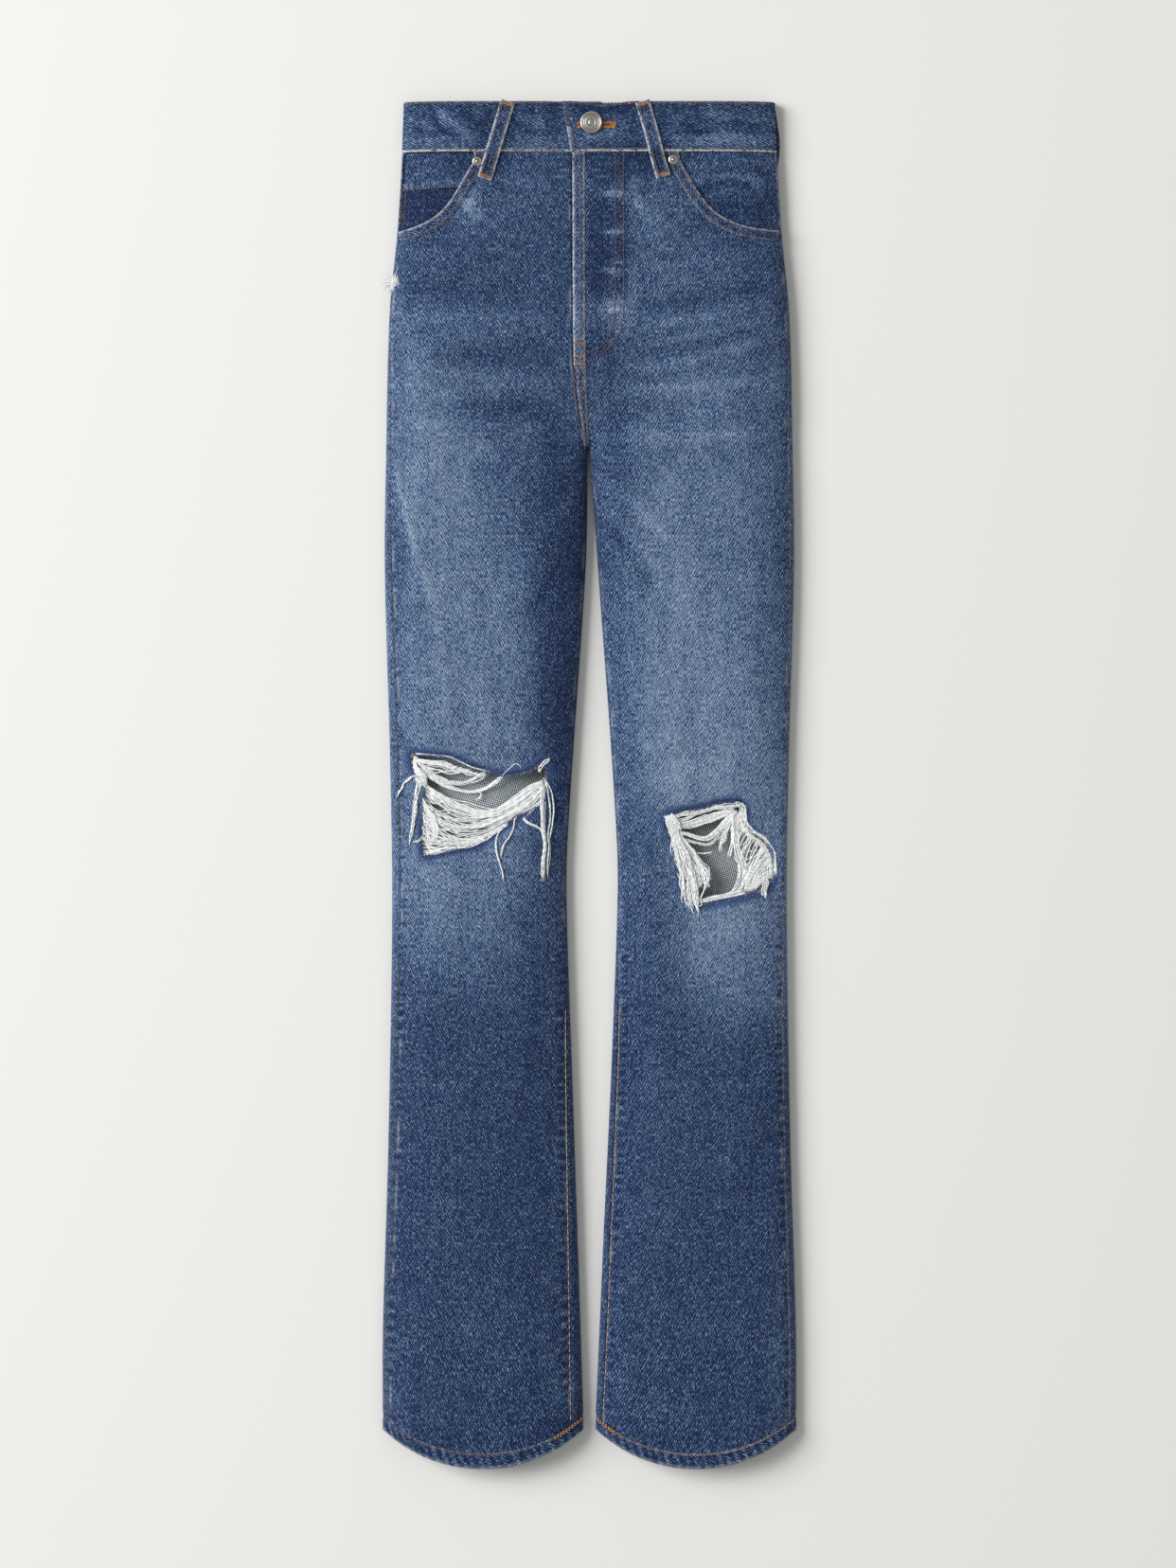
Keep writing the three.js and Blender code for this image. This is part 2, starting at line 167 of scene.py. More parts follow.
# ---- Unevenness: smooth random fields, and listed creases ----
def ripple(a, b, cell_a, cell_b, seed):
    """A smooth random field from -1 to 1: random values on a lattice, blended with smooth steps."""
    lattice = np.random.default_rng(seed).uniform(-1, 1, (64, 64))
    a, b = np.asarray(a) / cell_a + 100, np.asarray(b) / cell_b + 100
    i, j = np.floor(a).astype(int), np.floor(b).astype(int)
    s, t = ramp(0, 1, a - i), ramp(0, 1, b - j)
    at = lambda p, q: lattice[p % 64, q % 64]
    return ((at(i, j) * (1 - s) + at(i + 1, j) * s) * (1 - t)
            + (at(i, j + 1) * (1 - s) + at(i + 1, j + 1) * s) * t)


def roping(at, seed, pitch=7.6):
    """Bars across a seam or hem that puckered in the wash, from -1 (dark) to 1 (pale), of uneven length."""
    turns = at / pitch + 0.5 * ripple(at, 0 * at, 2.3 * pitch, 9, seed)
    return np.sin(2 * np.pi * turns) * (0.7 + 0.3 * ripple(at, 0 * at, 1.7 * pitch, 9, seed + 1))


def along_line(x, y, start, stop, width, sag=0.0):
    """Closeness to a soft line from start to stop that sags in its middle: 1 on it, fading over width, and
    fading out over its ends."""
    (x0, y0), (x1, y1) = start, stop
    length = math.hypot(x1 - x0, y1 - y0)
    dx, dy = (x1 - x0) / length, (y1 - y0) / length
    t = ((x - x0) * dx + (y - y0) * dy) / length
    off = (y - y0) * dx - (x - x0) * dy + sag * 4 * t * (1 - t)
    return np.exp(-(off / width) ** 2) * ramp(-0.02, 0.2, t) * ramp(1.02, 0.75, t)


def spot(x, y, at, reach, turn=0.0):
    """Closeness to a soft oval: 1 at its middle and about a third at its reach, turned by degrees."""
    c, s = math.cos(math.radians(turn)), math.sin(math.radians(turn))
    u, v = (x - at[0]) * c + (y - at[1]) * s, (y - at[1]) * c - (x - at[0]) * s
    return np.exp(-(u / reach[0]) ** 2 - (v / reach[1]) ** 2)


# Whiskers across the hips, creases down the legs and lines of painted shade beside the front belt loops:
# start, stop, width, height, sag, fade along them.
CREASES_AND_SHADE_LINES = [
    ((-18, 458), (-166, 466), 3.0, 0.35, 2, 0.10), ((-25, 447), (-166, 451), 3.0, 0.35, 2, 0.10),
    ((-14, 390), (-170, 395), 5.0, 1.3, 3, 0.20), ((-22, 339), (-171, 347), 5.0, 1.2, 3, 0.22),
    ((-30, 294), (-168, 300), 6.0, 1.5, 8, 0.20), ((-14, 412), (-170, 416), 6.0, -0.9, 3, -0.16),
    ((-14, 361), (-120, 364), 9, -1.1, 2, -0.22), ((-14, 313), (-150, 317), 9, -1.3, 3, -0.30),
    ((44, 436), (166, 446), 3.0, 0.4, 1, 0.10), ((44, 421), (168, 436), 3.2, 0.5, 2, 0.12),
    ((38, 386), (169, 412), 3.6, 1.1, 4, 0.24), ((36, 372), (169, 399), 3.2, 1.0, 4, 0.26),
    ((22, 348), (168, 382), 4.0, 1.3, 5, 0.28), ((20, 334), (165, 350), 4.0, 1.2, 6, 0.30),
    ((12, 297), (168, 300), 5.0, 1.4, 6, 0.24), ((34, 402), (168, 424), 4.0, -0.9, 3, -0.18),
    ((26, 361), (150, 388), 3.5, -0.9, 4, -0.16), ((16, 316), (100, 322), 8, -1.2, 4, -0.12),
    ((8, 262), (78, 196), 3.5, 1.4, -3, 0.30), ((8, 240), (66, 172), 3.5, 1.1, -3, 0.22),
    ((10, 228), (60, 152), 4.5, -1.1, -3, -0.22), ((-4, 250), (-60, 176), 6.0, 1.2, 2, 0.20),
    ((-6, 214), (-52, 130), 6.0, -1.2, 2, -0.20), ((-166, 284), (-126, 140), 3.0, 1.4, 3, 0.36),
    ((-127, 150), (-116, 40), 3.4, 0.8, 1, 0.16), ((99, 270), (99, 60), 5.0, -0.4, 0, -0.05),
    ((-34, -205), (-74, -372), 9.0, -1.1, 2, -0.10), ((-120, -180), (-128, -420), 12, 0.7, 0, 0.05),
    ((148, -290), (120, -392), 9.0, -1.0, -2, -0.10), ((60, -190), (52, -420), 12, 0.7, 0, 0.05),
    ((-150, -70), (-60, -104), 8.0, -0.8, 4, 0.04), ((60, -124), (150, -118), 8.0, -0.8, 5, 0.04),
    ((-128, 52), (-50, 38), 7.0, 0.9, 3, 0.05), ((60, 8), (150, 2), 7.0, 0.9, -2, 0.05),
    # These four lines, one each side of each front belt loop, are painted shade beside the loops, with no
    # height.
    ((-84, 572), (-100, 510), 3.4, 0, 0, -0.55), ((-60, 572), (-78, 510), 3.0, 0, 0, -0.40),
    ((58, 572), (74, 510), 3.0, 0, 0, -0.50), ((35, 572), (50, 508), 3.4, 0, 0, -0.45),
    ((-132, 574), (-98, 548), 2.6, 0, 2, 0.45), ((-140, 570), (-108, 542), 2.8, 0, 2, -0.50),
    ((-156, 566), (-128, 552), 2.4, 0, 1, 0.40), ((-152, 556), (-122, 547), 2.2, 0, 1, -0.40),
    ((96, 572), (126, 562), 2.4, 0, 2, 0.40), ((112, 560), (150, 554), 2.2, 0, -2, -0.40),
    ((120, 552), (156, 549), 2.0, 0, 0, -0.45), ((-60, 566), (-34, 556), 2.2, 0, 1, 0.35),
    ((-56, 553), (-30, 549), 1.8, 0, 0, -0.40), ((74, 551), (112, 552), 1.8, 0, 1, -0.50),
    ((-10, 568), (20, 571), 2.2, 0, 1, -0.40), ((-8, 548), (24, 551), 2.2, 0, 1, 0.35),
    ((-112, 572), (-88, 556), 2.4, 0, 1, -0.45), ((72, 562), (104, 550), 2.4, 0, 2, -0.45),
    ((-112, 502), (-90, 472), 2.2, 0, 2, 0.60), ((-106, 498), (-74, 470), 2.6, 0, 2, 0.35),
    ((-90, 520), (-64, 496), 3.0, 0, 2, -0.30), ((36, 520), (44, 482), 2.6, 0, 1, 0.45),
    ((100, 512), (150, 506), 2.4, 0, -6, 0.45), ((104, 502), (148, 492), 2.4, 0, -5, 0.40),
    ((98, 516), (156, 516), 2.6, 0, -3, -0.40), ((110, 490), (140, 480), 2.6, 0, -3, -0.25),
    ((34, 500), (60, 470), 2.2, 0, 2, 0.30), ((-118, 486), (-84, 462), 2.2, 0, 2, 0.30),
]
# Soft patches rubbed paler (or left darker), and a few of painted shade below the waistband: middle, reach,
# turn, amount.
FADE_AND_SHADE_PATCHES = [
    ((-108, 378), (46, 12), 2, 0.16), ((-92, 333), (40, 11), 2, 0.18), ((94, 334), (44, 26), 8, 0.17),
    # The patch at (34, 526) darkens the band just below the waistband: partly painted shade, partly unfaded
    # indigo.
    ((96, 376), (48, 12), 10, 0.10), ((34, 526), (46, 9), 0, -0.14), ((-104, 526), (12, 12), 0, -0.16),
    ((14, 573), (32, 8), 0, -0.20), ((-66, 556), (30, 14), 0, -0.10), ((108, 480), (24, 12), 30, -0.18),
    ((152, 488), (8, 22), 0, -0.16), ((-126, 392), (26, 8), 0, 0.12), ((78, 392), (34, 8), 6, 0.14),
    ((-64, 220), (24, 40), 0, -0.06), ((-145, 300), (22, 60), 0, 0.03), ((-62, -98), (22, 20), 0, -0.08),
    ((-85, 456), (60, 26), 0, -0.05), ((-25, 452), (16, 60), 0, -0.10), ((-112, 510), (14, 20), 0, -0.05),
    ((-98, 496), (5, 15), -34, 0.30), ((-80, 484), (22, 14), 0, 0.05), ((-52, 512), (30, 16), 0, 0.03),
    ((-160, 180), (8, 50), 0, -0.12), ((80, 446), (44, 30), 0, 0.08), ((146, 452), (20, 34), 0, -0.10),
    ((98, 484), (7, 30), -38, -0.06), ((46, 484), (10, 26), 0, 0.12), ((66, 474), (22, 20), 0, 0.06),
    ((36, 512), (13, 20), 0, -0.20), ((8, 524), (14, 14), 0, -0.08), ((8, 446), (14, 40), 0, -0.12),
    ((2, 480), (4, 50), 0, -0.10), ((14, 506), (13, 10), 0, 0.12), ((28, 500), (7, 13), 0, 0.30),
    ((12, 400), (17, 13), 0, 0.20), ((32, 402), (9, 26), 0, 0.16), ((10, 372), (16, 9), 0, -0.20),
    ((44, 398), (14, 16), 0, 0.08), ((22, 350), (16, 20), 0, -0.08), ((40, 272), (34, 12), 8, -0.08),
    ((72, 84), (28, 60), 0, 0.05), ((134, 40), (20, 60), 0, 0.06), ((74, 10), (30, 30), 0, 0.05),
    ((100, -118), (50, 28), 0, 0.07), ((-24, -530), (22, 12), 0, -0.20), ((-20, -508), (9, 9), 0, 0.20),
    ((-70, -508), (16, 12), 0, -0.12), ((158, 356), (10, 12), 0, 0.14), ((-115, 320), (20, 9), 0, 0.18),
    ((-92, 284), (22, 10), 0, 0.20), ((-32, 284), (12, 14), 0, -0.15), ((164, 195), (7, 60), 0, -0.14),
    ((-168, 212), (6, 50), 0, -0.12), ((-24, 50), (7, 60), 0, -0.14), ((-70, -112), (16, 14), 0, -0.08),
    # The patch at (40, 534) is a painted shadow line along the waistband's foot.
    ((-12, 392), (5, 16), 0, 0.16), ((40, 534), (44, 5), 0, -0.34), ((20, 574), (40, 6), 0, -0.16),
    ((88, 314), (50, 34), 0, 0.12), ((-134, -128), (16, 40), 0, 0.10), ((74, 176), (22, 40), 0, 0.10),
    ((24, -226), (8, 16), 0, -0.10), ((160, -440), (9, 90), 0, 0.09), ((-158, -380), (12, 60), 0, -0.08),
    ((-70, -372), (30, 40), 0, -0.07), ((-50, 466), (30, 40), 0, -0.03), ((6, 428), (9, 30), 0, -0.10),
    ((24, 230), (10, 60), 0, -0.06), ((152, 502), (9, 12), 0, -0.16), ((126, 462), (16, 6), 0, -0.16),
    ((-112, -528), (30, 8), 0, -0.12), ((60, -526), (30, 8), 0, -0.10), ((-62, 548), (46, 5), 0, 0.05),
    ((108, 545), (56, 6), 0, 0.20), ((-42, 541), (24, 7), 0, 0.18), ((4, 545), (18, 7), 0, 0.06),
    ((20, 499.5), (10, 2.2), 0, 0.84), ((21, 467), (10, 2.2), 0, 0.90), ((20, 434), (10, 2.2), -4, 0.86),
    ((21, 401.5), (10, 2.2), 4, 0.60), ((24, 441), (8, 1.8), 3, 0.50), ((22, 408), (9, 1.7), 3, 0.34),
    ((12, 486), (13, 9), 0, -0.06), ((12, 450), (13, 9), 0, -0.06), ((-120, 542), (34, 6), 0, 0.16),
    ((108, 544), (50, 6), 0, 0.10), ((-108, -158), (26, 26), 0, 0.12), ((78, -270), (18, 70), 0, 0.09),
    ((158, 330), (14, 26), 0, 0.14), ((-24, 206), (8, 14), 0, 0.12), ((-24, -340), (8, 70), 0, 0.12),
    ((-156, 498), (7, 10), 0, -0.20), ((-130, 562), (24, 10), 20, 0.12), ((130, 566), (20, 8), -10, 0.10),
    ((20, 542), (26, 4), 0, -0.14), ((128, 549.5), (34, 2.4), 0, 0.20), ((-130, 546), (30, 2.4), 2, 0.18),
    ((-30, 560), (10, 14), 0, -0.08), ((90, 560), (12, 12), 0, -0.06), ((150, 466), (12, 5), 0, -0.14),
    ((-88, 212), (16, 40), 0, -0.05), ((-145, 560), (14, 14), 0, -0.12), ((-132, 464), (16, 8), 0, -0.14),
    ((136, 536), (24, 4), 0, -0.16), ((-145, -112), (14, 16), 0, -0.10), ((30, -226), (8, 26), 0, -0.08),
    ((84, -156), (20, 18), 0, 0.08), ((-148, 150), (14, 40), 0, -0.07), ((-20, 176), (8, 12), 0, -0.10),
    ((-40, 176), (8, 12), 0, 0.10), ((-156, 570), (10, 6), 0, 0.06), ((20, 428), (14, 8), 0, -0.08),
    ((160, -500), (8, 30), 0, 0.06), ((36, 428), (3.2, 12), 8, 0.22),
]


SAG, RISE = 5.5, 8.5  # how far the fronts sink and the backs rise where a knee is open
LEFT_RISE = 0.3  # the back rises less behind the left knee, whose opening is deeper


def slack(x, y, left=1.0):
    """Nearness to the open knees, where the two layers of a leg come close; left scales the left knee's."""
    return spot(x, y, (-92, -18), (62, 52)) + left * spot(x, y, (112, -58), (56, 54))


def face_height(x, y):
    """Height of the top face with its creases, which die away at side folds, the gap and the waistband."""
    lines = sum(height * along_line(x, y, a, b, w, sag) for a, b, w, height, sag, _ in CREASES_AND_SHADE_LINES)
    lines = lines + 0.35 * ripple(x, y, 31, 47, 3) + 0.16 * ripple(x, y, 11, 17, 4)
    side = np.where(x < gap_centre(np.minimum(y, CROTCH)), RIGHT, LEFT)
    from_gap = np.where(y >= CROTCH, 9, side * (x - inner_edge(side, y)))
    free = ramp(0.5, 12, outer_edge(y) - np.abs(x)) * ramp(0, 9, from_gap)
    free = free * ramp(BAND_FOOT, BAND_FOOT - 9, y)
    return top_height(x, y) + free * (lines - SAG * slack(x, y))


def fade_and_shade_at(x, y):
    """How far the indigo is washed out, with painted shade taken off it, from 0 to 1: deep below the knees,
    middling over the hips, and pale on each thigh, where the pale part starts lower towards the crotch and
    stops short of the inner seam. The painted shade darkens the cloth beside the gap between the legs below
    the crotch, beside the front belt loops, and in a band just below the waistband, there partly painted
    shade and partly unfaded indigo."""
    # The fall of 0.10 from y 508 to 530 darkens a band just below the waistband: partly painted shade under
    # the band, partly unfaded indigo.
    base = (0.02 + 0.13 * ramp(-230, -100, y) + 0.02 * ramp(420, 490, y) - 0.10 * ramp(508, 530, y)
            + 0.08 * ramp(BAND_FOOT - 3, BAND_FOOT, y) - 0.14 * ramp(562, 574, y))
    start = 372 - 1.5 * (x + 145)
    right = (ramp(start + 44, start - 70, y) * ramp(-188, -70, y) * ramp(-22, -82, x)
             * (1 - 0.6 * ramp(-146, -168, x)))
    inner = (ramp(-62, -30, x) * ramp(300, 235, y) * ramp(-110, -20, y)
             + 0.3 * ramp(-66, -46, x) * (1 - 0.7 * ramp(-38, -27, x)) * ramp(-90, -130, y))
    edge, foot = 10 + 42 * ramp(60, -110, y), -110 - 44 * ramp(60, 112, x)
    left = (ramp(352, 246, y) * ramp(foot - 104, foot, y) * ramp(edge, edge + 52, x)
            * (1 - ramp(112, 166, x) * (0.3 + 0.25 * ramp(-10, 90, y))) * (0.74 + 0.26 * ramp(190, 60, y)))
    legs = np.where(x < 1, 0.34 * right - 0.22 * inner,
                    0.36 * left + 0.03 * ramp(290, 240, y) * ramp(-140, -60, y))
    fly = ramp(-4, 2, x) * ramp(37, 30, x) * ramp(408, 418, y) * ramp(532, 512, y)
    legs = legs - 0.19 * fly
    # Painted shade: the cloth within a few millimetres of the gap between the legs, below the crotch, is
    # darkened.
    from_gap = np.abs(x - gap_centre(y)) - half_gap(y)
    legs = legs - 0.42 * ramp(110, 200, y) * ramp(300, 280, y) * np.exp(-from_gap / 5)
    lines = sum(0.60 * fade * along_line(x, y, a, b, w * 1.3, sag) for a, b, w, _, sag, fade in CREASES_AND_SHADE_LINES)
    patches = sum(amount * spot(x, y, at, reach, turn) for at, reach, turn, amount in FADE_AND_SHADE_PATCHES)
    uneven = 0.04 * ripple(x, y, 9, 60, 5) + 0.03 * ripple(x, y, 24, 24, 6) + 0.05 * ripple(x, y, 3.5, 30, 7)
    return base + legs + lines + patches + uneven


# ---- Making meshes ----
def make_mesh(name, points, faces, materials, uv=None, masks=None):
    """A piece from points in millimetres and faces of equal size; uv holds each point's place on the cloth,
    in metres, and masks its named values."""
    mesh = bpy.data.meshes.new(name)
    points = np.asarray(points, float) + (0, SHIFT_Y, 0)
    faces = np.asarray(faces)
    mesh.vertices.add(len(points))
    mesh.vertices.foreach_set("co", (points * MM).ravel())
    mesh.loops.add(faces.size)
    mesh.loops.foreach_set("vertex_index", faces.ravel())
    mesh.polygons.add(len(faces))
    mesh.polygons.foreach_set("loop_start", np.arange(0, faces.size, faces.shape[1]))
    mesh.polygons.foreach_set("use_smooth", np.full(len(faces), True))
    if uv is not None:
        mesh.uv_layers.new(name="cloth").data.foreach_set("uv", np.asarray(uv)[faces.ravel()].ravel())
    for mask_name, values in (masks or {}).items():
        data = mesh.attributes.new(mask_name, "FLOAT", "POINT").data
        data.foreach_set("value", np.asarray(values, float).ravel())
    for material in materials:
        mesh.materials.append(material)
    mesh.update(calc_edges=True)
    mesh.validate()
    piece = bpy.data.objects.new(name.replace(" ", "_"), mesh)
    bpy.context.scene.collection.objects.link(piece)
    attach(piece, "root")
    return piece


def grid_faces(rows, columns, closed=False, flip=False):
    """The quads of a grid, whose columns join up if it is closed."""
    i = np.arange(rows - 1)[:, None] * columns
    j = np.arange(columns if closed else columns - 1)
    k = (j + 1) % columns
    quads = np.stack([i + j, i + k, i + columns + k, i + columns + j], -1).reshape(-1, 4)
    return quads[:, ::-1] if flip else quads


def cloth_places(points, v):
    """Places on the cloth in metres: the distance along each row, from its middle, and v."""
    steps = np.linalg.norm(np.diff(points, axis=1), axis=2)
    across = np.concatenate([np.zeros((len(points), 1)), np.cumsum(steps, axis=1)], axis=1)
    across = across - across[:, across.shape[1] // 2][:, None]
    return np.stack([across, np.broadcast_to(v, across.shape)], -1) * MM


def keep(points, faces, wanted, *per_point):
    """Drops the unwanted faces and the points that only they used."""
    faces = faces[wanted]
    used = np.unique(faces)
    place = np.zeros(len(points), int)
    place[used] = np.arange(len(used))
    return (points[used], place[faces], *[p[used] for p in per_point])


def lengths(path):
    """The distance along a path to each of its points."""
    return np.concatenate([[0], np.cumsum(np.linalg.norm(np.diff(path, axis=0), axis=1))])


def at_lengths(path, length, at):
    """The places on a path at distances along it, where length is its points' own distances."""
    return np.stack([np.interp(at, length, path[:, k]) for k in range(path.shape[1])], 1)


def even(path, count):
    """A path recut into so many points, evenly apart, for strips whose two edges must keep pace."""
    length = lengths(path)
    return at_lengths(path, length, np.linspace(0, length[-1], count))


def unit(vectors, tiny=0.0):
    """Vectors cut to a length of 1; tiny keeps one of no length from being divided by nothing."""
    return vectors / (np.linalg.norm(vectors, axis=-1, keepdims=True) + tiny)


def flow(points, steps, closed=False):
    """A smooth path through a few points: each piece is a cubic whose slope follows its neighbours."""
    p = np.asarray(points, float)
    ring = (lambda k: p[k % len(p)]) if closed else (lambda k: p[np.clip(k, 0, len(p) - 1)])
    k = np.arange(len(p) if closed else len(p) - 1)[:, None]
    t = np.linspace(0, 1, steps, endpoint=False)[None, :, None]
    a, b, c, d = (ring(k + n) for n in (-1, 0, 1, 2))
    path = 0.5 * (2 * b + (c - a) * t + (2 * a - 5 * b + 4 * c - d) * t ** 2
                  + (3 * b - a - 3 * c + d) * t ** 3)
    path = path.reshape(-1, p.shape[1])
    return path if closed else np.vstack([path, p[-1:]])


def from_outline(x, y, outline):
    """Signed distance from a closed outline, below 0 inside it, and the nearest points on it."""
    a, b = outline, np.roll(outline, -1, axis=0)
    at = np.stack([x, y], -1)[:, None, :]
    side = (b - a)[None]
    t = np.clip(((at - a) * side).sum(-1) / (side ** 2).sum(-1), 0, 1)
    nearest = a + t[..., None] * side
    gap = np.linalg.norm(at - nearest, axis=-1)
    best = gap.argmin(1)
    row = np.arange(len(best))
    crosses = (a[:, 1] > y[:, None]) != (b[:, 1] > y[:, None])
    with np.errstate(divide="ignore", invalid="ignore"):
        reach = (b[:, 0] - a[:, 0]) * (y[:, None] - a[:, 1]) / (b[:, 1] - a[:, 1]) + a[:, 0]
    inside = (crosses & (x[:, None] < reach)).sum(1) % 2 == 1
    return np.where(inside, -1, 1) * gap[row, best], nearest[row, best]


def shell(piece, thickness=CLOTH):
    """Gives a sheet its thickness on its inner side, which shows the cloth's reverse, its second material."""
    solid = piece.modifiers.new("cloth thickness", "SOLIDIFY")
    solid.thickness = thickness * MM
    solid.offset = -1
    solid.material_offset = 1
    solid.material_offset_rim = 0
    return piece


def sheet(name, points, v, flip, fade, worn=0.0, frayed=0.0, gap=None, thickness=CLOTH):
    """A sheet of denim from a grid of points, v being their places along the cloth, with its masks; faces
    where gap isn't above 0 are left out."""
    rows, columns = points.shape[:2]
    masks = [np.broadcast_to(value, (rows, columns)).ravel() for value in (fade, worn, frayed)]
    uv = cloth_places(points, v).reshape(-1, 2)
    points, faces = points.reshape(-1, 3), grid_faces(rows, columns, flip=flip)
    if gap is not None:
        wanted = gap.ravel()[faces].mean(1) > 0
        points, faces, uv, *masks = keep(points, faces, wanted, uv, *masks)
    masks = dict(zip(("fade", "worn", "frayed"), masks))
    return shell(make_mesh(name, points, faces, [INDIGO, REVERSE], uv, masks), thickness)


def strip_ring(width, thick):
    """A strip's cross-section, once round: how far across it (0 to 1), how far off the cloth below it, and
    how near its rounded edges (1 on them, 0 along the middle)."""
    r = thick / 2
    a = np.linspace(-math.pi / 2, math.pi / 2, 6)
    edge = np.stack([width / 2 - r + r * np.cos(a), r * np.sin(a), np.ones(6)], 1)
    across = np.linspace(width / 2 - r, r - width / 2, max(7, int(width / 1.2)))[1:-1]
    near = np.exp(-((width / 2 - r - np.abs(across)) / 0.8) ** 2)
    top = np.stack([across, np.full_like(across, r), near], 1)
    ring = np.vstack([edge, top, edge * (-1, -1, 1), top * (-1, -1, 1)])
    return ring[:, 0] / width + 0.5, ring[:, 1] + r, ring[:, 2]


def strip_between(name, lower, upper, thick, fade=0.0, wear=(1.0, 1.0), puff=0.0, bars=0.0, seed=1):
    """A strip of folded cloth that fills the band between two paths: an oblong with round edges carried
    along them, closing to nothing at its ends. wear is how white its lower and upper edges are rubbed, puff
    lifts its outer face in small uneven swellings, and bars is how strongly slanted bars cross it."""
    length = lengths((lower + upper) / 2)
    r = thick / 2
    near_end = np.array([0.0, 0.08, 0.35, 0.75]) * r
    at = np.unique(np.concatenate([near_end, length[(length > r) & (length < length[-1] - r)],
                                   length[-1] - near_end]))
    lower, upper = at_lengths(lower, length, at), at_lengths(upper, length, at)
    out = unit(np.cross(np.gradient((lower + upper) / 2, axis=0), upper - lower))
    width = np.linalg.norm(upper - lower, axis=1).mean()
    across, off, edge = strip_ring(width, thick)
    from_end = np.clip(np.minimum(at, at[-1] - at) / r, 0, 1)
    closing = np.sqrt(1 - 0.94 * (1 - from_end) ** 2)[:, None]
    swell = puff * ripple(at[:, None], across * width, 5.3, 3.7, seed) * (off > r) * np.sin(np.pi * across)
    swell = swell * np.clip(out[:, 2], 0, 1)[:, None]
    lift = r + (off - r + swell) * closing
    points = lower[:, None] + (upper - lower)[:, None] * across[:, None] + out[:, None] * lift[..., None]
    uv = np.stack(np.broadcast_arrays(across * width, at[:, None]), -1).reshape(-1, 2) * MM
    points = points.reshape(-1, 3)
    ropes = bars * roping(at[:, None] + 0.45 * across * width, seed).ravel()
    masks = {"fade": fade_and_shade_at(points[:, 0], points[:, 1]) + fade + ropes, "frayed": np.zeros(len(points)),
             "worn": (np.where(across < 0.5, *wear)
                      * np.maximum(edge, 0.9 * np.exp(-np.minimum(at, at[-1] - at) / 1.3)[:, None])).ravel()}
    n = len(across)
    i = np.arange(3, n // 2 + 2)
    cap = np.stack([i, i + 1, (4 - i) % n, (5 - i) % n], 1)
    faces = np.vstack([grid_faces(len(at), n, closed=True), cap[:, ::-1], cap + (len(at) - 1) * n])
    return make_mesh(name, points, faces, [INDIGO], uv, masks)


def strip(name, path, up, width, thick, **rest):
    """A strip of one width, centred on a path, on the side of the cloth that up points to."""
    forward = unit(np.gradient(path, axis=0))
    half = np.cross(np.broadcast_to(np.asarray(up, float), path.shape), forward)
    half *= (np.broadcast_to(width, len(path)) / 2 / np.linalg.norm(half, axis=1))[:, None]
    return strip_between(name, path - half, path + half, thick, **rest)


# ---- Stitches and yarns ----
THREADS = {"brown": [], "orange": [], "cream": []}


def stitch(thread, centres, along, out, length, thick):
    """Stitches: little spindles that bow out of the cloth and dive into it at both ends. Each has 5 rings of
    6 points, whose radius is that of an ellipse, and its middle line drops with the fourth power of the way
    from its middle."""
    along = unit(along)
    out = np.broadcast_to(np.asarray(out, float), centres.shape)
    side = np.cross(along, out)
    a = np.linspace(-0.5, 0.5, 5)[None, :, None]
    turn = np.linspace(0, 2 * np.pi, 6, endpoint=False)[None, None]
    radius = thick / 2 * np.sqrt(1.02 - (1.96 * a) ** 2)
    radius = np.broadcast_to(radius, (1, 5, 6))[..., None]
    lift = (0.34 * thick - 2.6 * thick * a ** 4 * 2)[..., None]
    points = (centres[:, None, None] + along[:, None, None] * (a * length)[..., None]
              + side[:, None, None] * radius * np.cos(turn)[..., None]
              + out[:, None, None] * (radius * np.sin(turn)[..., None] + lift))
    THREADS[thread].append(points.reshape(-1, 30, 3))


def resample(path, pitch):
    """Points a pitch apart along a path, and the directions there."""
    length = lengths(path)
    count = max(2, int(round(length[-1] / pitch)))
    at = (np.arange(count) + 0.5) * length[-1] / count
    ahead = at_lengths(path, length, np.minimum(at + 0.3, length[-1]))
    behind = at_lengths(path, length, np.maximum(at - 0.3, 0))
    return at_lengths(path, length, at), ahead - behind


def surface(xy, proud=0.0, under=False):
    """Points on the garment's top face (or its underside) over flat places, standing proud of it."""
    x, y = np.asarray(xy, float).T
    height = back_lift(y) - proud if under else face_height(x, y) + proud
    return np.column_stack([x, y - bow(np.sign(x), x, y), height])


def sew(thread, points, proud=0.1, pitch=3.0, thick=0.74, under=False, height=None):
    """A row of stitches along a smooth path over flat places, on the face or at a height of its own."""
    path = flow(points, 12)
    at, along = resample(path, pitch)
    wobble = np.random.default_rng(len(THREADS[thread]) + 7).normal(0, 0.07, at.shape)
    centres = surface(at + wobble, proud, under)
    step = surface(at + along, proud, under) - surface(at, proud, under)
    if height is not None:
        centres[:, 2] = height
        step[:, 2] = 0
    stitch(thread, centres, step, (0, 0, -1 if under else 1), pitch * 0.86, thick)


def bar_tack(thread, start, stop, width, proud=1.0, thick=0.5, pitch=0.46):
    """A bar tack: close stitches side by side, each as long as the tack is wide."""
    at, along = resample(np.array([start, stop], float), pitch)
    across = np.column_stack([-along[:, 1], along[:, 0], np.zeros(len(along))])
    uneven = np.random.default_rng(int(abs(start[0] * 7 + start[1]))).normal(0, 0.12, (len(at), 2))
    stitch(thread, surface(at + uneven, proud), across, (0, 0, 1), width, thick)


